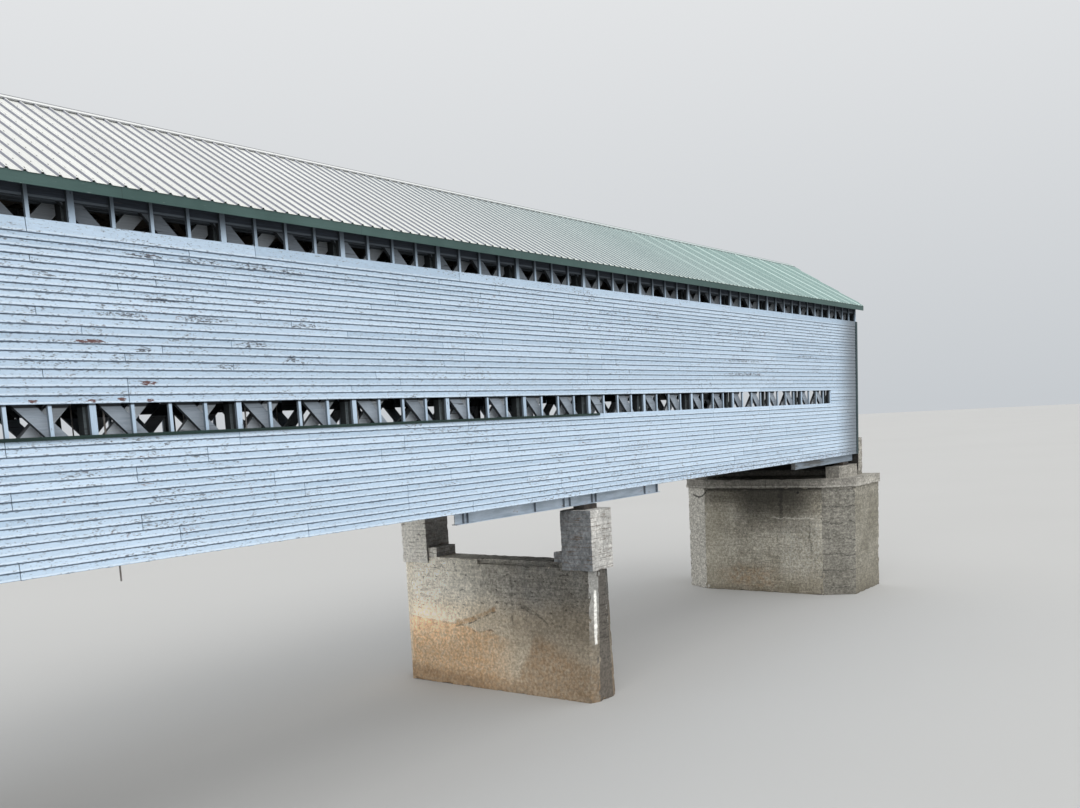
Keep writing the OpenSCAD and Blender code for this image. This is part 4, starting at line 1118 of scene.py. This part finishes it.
def weathered(name, node, material, step, board, chip, seed):
    """A finely cut copy of a concrete node with form-board steps and chipped edges.

    step is the size of its faces, board the height of a form board and chip
    the depth of the deepest chips.
    """
    chip_reach = 2.2 * chip
    chips_in_metre = 3.4
    form_step = 0.004
    mesh = NODES[node].data.copy()
    mesh.materials.clear()
    made = add_object(name, mesh)
    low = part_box(node)[0]
    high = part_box(node)[1]
    work = bmesh.new()
    work.from_mesh(mesh)
    bmesh.ops.remove_doubles(work, verts=work.verts, dist=0.0005)
    bmesh.ops.dissolve_limit(work, angle_limit=0.01, verts=work.verts, edges=work.edges)
    sharp = [[np.array(vert.co) for vert in edge.verts] for edge in work.edges]
    corners = [sorted({round(vert.co[axis], 3) for vert in work.verts}) for axis in range(3)]
    rows = math.ceil((high.z - low.z) / board)
    joints = [low.z + k * board for k in range(1, rows)]
    levels = cut_places(low.z, high.z, board / 2, joints)
    levels += cut_places(low.z, high.z, board, corners[2])
    for normal, places in (
        (Z_AXIS, sorted(set(levels))), (Y_AXIS, cut_places(low.y, high.y, step, corners[1])),
        (X_AXIS, cut_places(low.x, high.x, step, corners[0])),
    ):
        for place in places:
            parts = work.verts[:] + work.edges[:] + work.faces[:]
            bmesh.ops.bisect_plane(
                work, geom=parts, dist=1e-5, plane_co=normal * place, plane_no=normal
            )
    bmesh.ops.triangulate(work, faces=[face for face in work.faces if len(face.verts) > 4])
    work.to_mesh(mesh)
    work.free()

    # Depth taken off each point: chips along the edges, and form boards out of line
    count = len(mesh.vertices)
    co = np.empty(count * 3, np.float32)
    out = np.empty(count * 3, np.float32)
    mesh.vertices.foreach_get("co", co)
    mesh.vertices.foreach_get("normal", out)
    co = co.reshape(-1, 3).astype(float)
    out = out.reshape(-1, 3).astype(float)
    near = np.full(count, 1e9)
    for a, b in sharp:
        span = b - a
        share = np.clip((co - a) @ span / (span @ span), 0, 1)
        near = np.minimum(near, np.linalg.norm(co - a - share[:, None] * span, axis=1))
    offset = np.array((seed * 7.3, seed * 3.1, seed * 1.7))
    weight = np.clip(1 - near / chip_reach, 0, 1)
    rough = np.zeros(count)
    for i in np.nonzero(weight > 0)[0]:
        rough[i] = noise.fractal(Vector((co[i] + offset) * chips_in_metre), 0.9, 2.1, 5)
    depth = chip * weight * np.maximum(0, rough - 0.05) * 2
    proud = np.random.default_rng(seed).random(rows + 1) * form_step
    row = np.clip(((co[:, 2] - low.z) / board).astype(int), 0, rows)
    depth += np.where(np.abs(out[:, 2]) < 0.7, proud[row], 0)
    co -= out * depth[:, None]
    co = np.clip(co, np.array(low), np.array(high))
    foot = co[:, 2] < low.z + 0.006
    co[foot, 2] = low.z
    mesh.vertices.foreach_set("co", co.astype(np.float32).ravel())
    for poly in mesh.polygons:
        poly.use_smooth = True
    mesh.set_sharp_from_angle(angle=math.radians(24))
    mesh.materials.append(material)
    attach(made, "root")
    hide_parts(node)


for name, node, material, step, board, chip, seed in (
    ("pier_concrete", "pier", PIER_CONCRETE, 0.10, PIER_BOARD, 0.035, 1),
    ("pedestal_concrete_near", "pedestal_near", CAP_CONCRETE, 0.07, CAP_BOARD, 0.02, 2),
    ("pedestal_concrete_far", "pedestal_far", CAP_CONCRETE, 0.07, CAP_BOARD, 0.02, 3),
    ("abutment_concrete_left", "abutment_left", ABUT_CONCRETE, 0.16, ABUT_BOARD, 0.05, 4),
    ("abutment_concrete_right", "abutment_right", ABUT_CONCRETE, 0.16, ABUT_BOARD, 0.05, 5),
    ("seat_concrete_left", "bridge_seat_left", SEAT_CONCRETE, 0.12, SEAT_BOARD, 0.03, 6),
    ("seat_concrete_right", "bridge_seat_right", SEAT_CONCRETE, 0.12, SEAT_BOARD, 0.03, 7),
):
    weathered(name, node, material, step, board, chip, seed)

# Finishes of the CAD nodes

FINISH = (
    (SEAT_CONCRETE, "bearing_blocks"), (DARK_IRON_AND_SHADE, "bearing_plates"), (STEEL, "pier_girders"),
    (BOLSTER_WOOD, "end_bolsters"), (CHORD_WOOD, "lower_chords"), (EAVE_SHADE_WOOD, "upper_chords"),
    (FALL_WOOD, "outer_lattice_near outer_lattice_far"),
    (RISE_WOOD, "inner_lattice_near inner_lattice_far"),
    (POST_WOOD, "posts portal_frames"), (ROD_IRON, "tie_rods"), (STUD_WOOD, "studs"),
    (CROSS_WOOD, "floor_beams tie_beams knee_braces rafters"),
    (LONG_WOOD, "wheel_guards lower_bracing upper_bracing wall_plates ridge_board roof_battens"),
    (ROOFING, "roof_near roof_far"), (RIDGE_PAINT, "ridge_cap"),
    (TRIM, "fascia_boards portal_trim"), (SILL_TRIM, "sill_boards"),
    (CORNER_TRIM, "corner_boards"),
)
WORN_EDGES = (
    (0.015, "bearing_blocks"), (0.006, "end_bolsters wheel_guards"),
    (0.004, "lower_chords upper_chords tie_beams knee_braces"),
    (0.003, "outer_lattice_near outer_lattice_far inner_lattice_near inner_lattice_far"),
    (0.003, "posts floor_beams portal_frames"),
    (0.002, "studs rafters fascia_boards sill_boards corner_boards portal_trim"),
)


def finish_nodes():
    for material, names in FINISH:
        for name in names.split():
            mesh = NODES[name].data
            mesh.materials.clear()
            mesh.materials.append(material)
    for width, names in WORN_EDGES:
        for name in names.split():
            bevel = NODES[name].modifiers.new("worn edges", "BEVEL")
            bevel.width = width
            bevel.segments = 1
            bevel.limit_method = "ANGLE"
            bevel.angle_limit = math.radians(40)


finish_nodes()

# Floor of the studio, light and camera


def stage():
    mesh = bpy.data.meshes.new("studio_floor")
    half = 900.0
    level = cad_box[0].z - 0.002
    around = ((-half, -half), (half, -half), (half, half), (-half, half))
    mesh.from_pydata([(x, y, level) for x, y in around], [], [(0, 1, 2, 3)])
    floor = add_object("studio_floor", mesh)
    s = Shade("studio_floor", Roughness=0.9, Specular_IOR_Level=0.1)
    s.color = s.mix(s.noise(0.05, 2), (0.52, 0.52, 0.51), (0.55, 0.55, 0.54))
    mesh.materials.append(s.done())


def light():
    """An overcast sky, brightest overhead, and three broad lamps."""
    scene = bpy.context.scene
    scene.view_settings.view_transform = "Standard"
    world = bpy.data.worlds.new("soft_sky")
    scene.world = world
    world.use_nodes = True
    tree = world.node_tree
    where = tree.nodes.new("ShaderNodeTexCoord")
    split = tree.nodes.new("ShaderNodeSeparateXYZ")
    ramp = tree.nodes.new("ShaderNodeValToRGB")
    sky = tree.nodes["Background"]
    tree.links.new(where.outputs["Generated"], split.inputs[0])
    tree.links.new(split.outputs[2], ramp.inputs[0])
    tree.links.new(ramp.outputs[0], sky.inputs[0])
    horizon, overhead = ramp.color_ramp.elements
    horizon.color = (0.60, 0.63, 0.66, 1.0)
    overhead.color = (1.0, 1.0, 1.0, 1.0)
    overhead.position = 0.7
    sky.inputs[1].default_value = 0.95
    for name, turn, energy, angle in (
        ("key", (50, 0, -30), 0.75, 40), ("low", (77, 0, -68), 1.25, 60),
        ("fill", (66, 0, 30), 0.25, 80),
    ):
        lamp = bpy.data.lights.new(name, "SUN")
        lamp.energy = energy
        lamp.angle = math.radians(angle)
        add_object(name, lamp).rotation_euler = [math.radians(a) for a in turn]


def camera():
    """Solved from the posts, siding, roof and pedestals of the photograph."""
    position = (-21.9710, -17.8705, 7.1474)
    yaw = 0.923741
    pitch = 0.135712
    roll = 0.052009
    focal = 1048.74
    width = 1080
    height = 808
    centre_y = 566
    sensor = 36
    forward = Vector((
        math.sin(yaw) * math.cos(pitch), math.cos(yaw) * math.cos(pitch), -math.sin(pitch),
    ))
    level = Vector((math.cos(yaw), -math.sin(yaw), 0))
    drop = forward.cross(level)
    right = level * math.cos(roll) + drop * math.sin(roll)
    down = drop * math.cos(roll) - level * math.sin(roll)
    lens = bpy.data.cameras.new("camera")
    lens.sensor_width = sensor
    lens.lens = sensor * focal / width
    lens.shift_y = (centre_y - height / 2) / width
    lens.clip_end = 2000
    made = add_object("camera", lens)
    axes = Matrix((right, -down, -forward)).transposed()
    made.matrix_world = Matrix.Translation(position) @ axes.to_4x4()
    bpy.context.scene.camera = made


stage()
light()
camera()
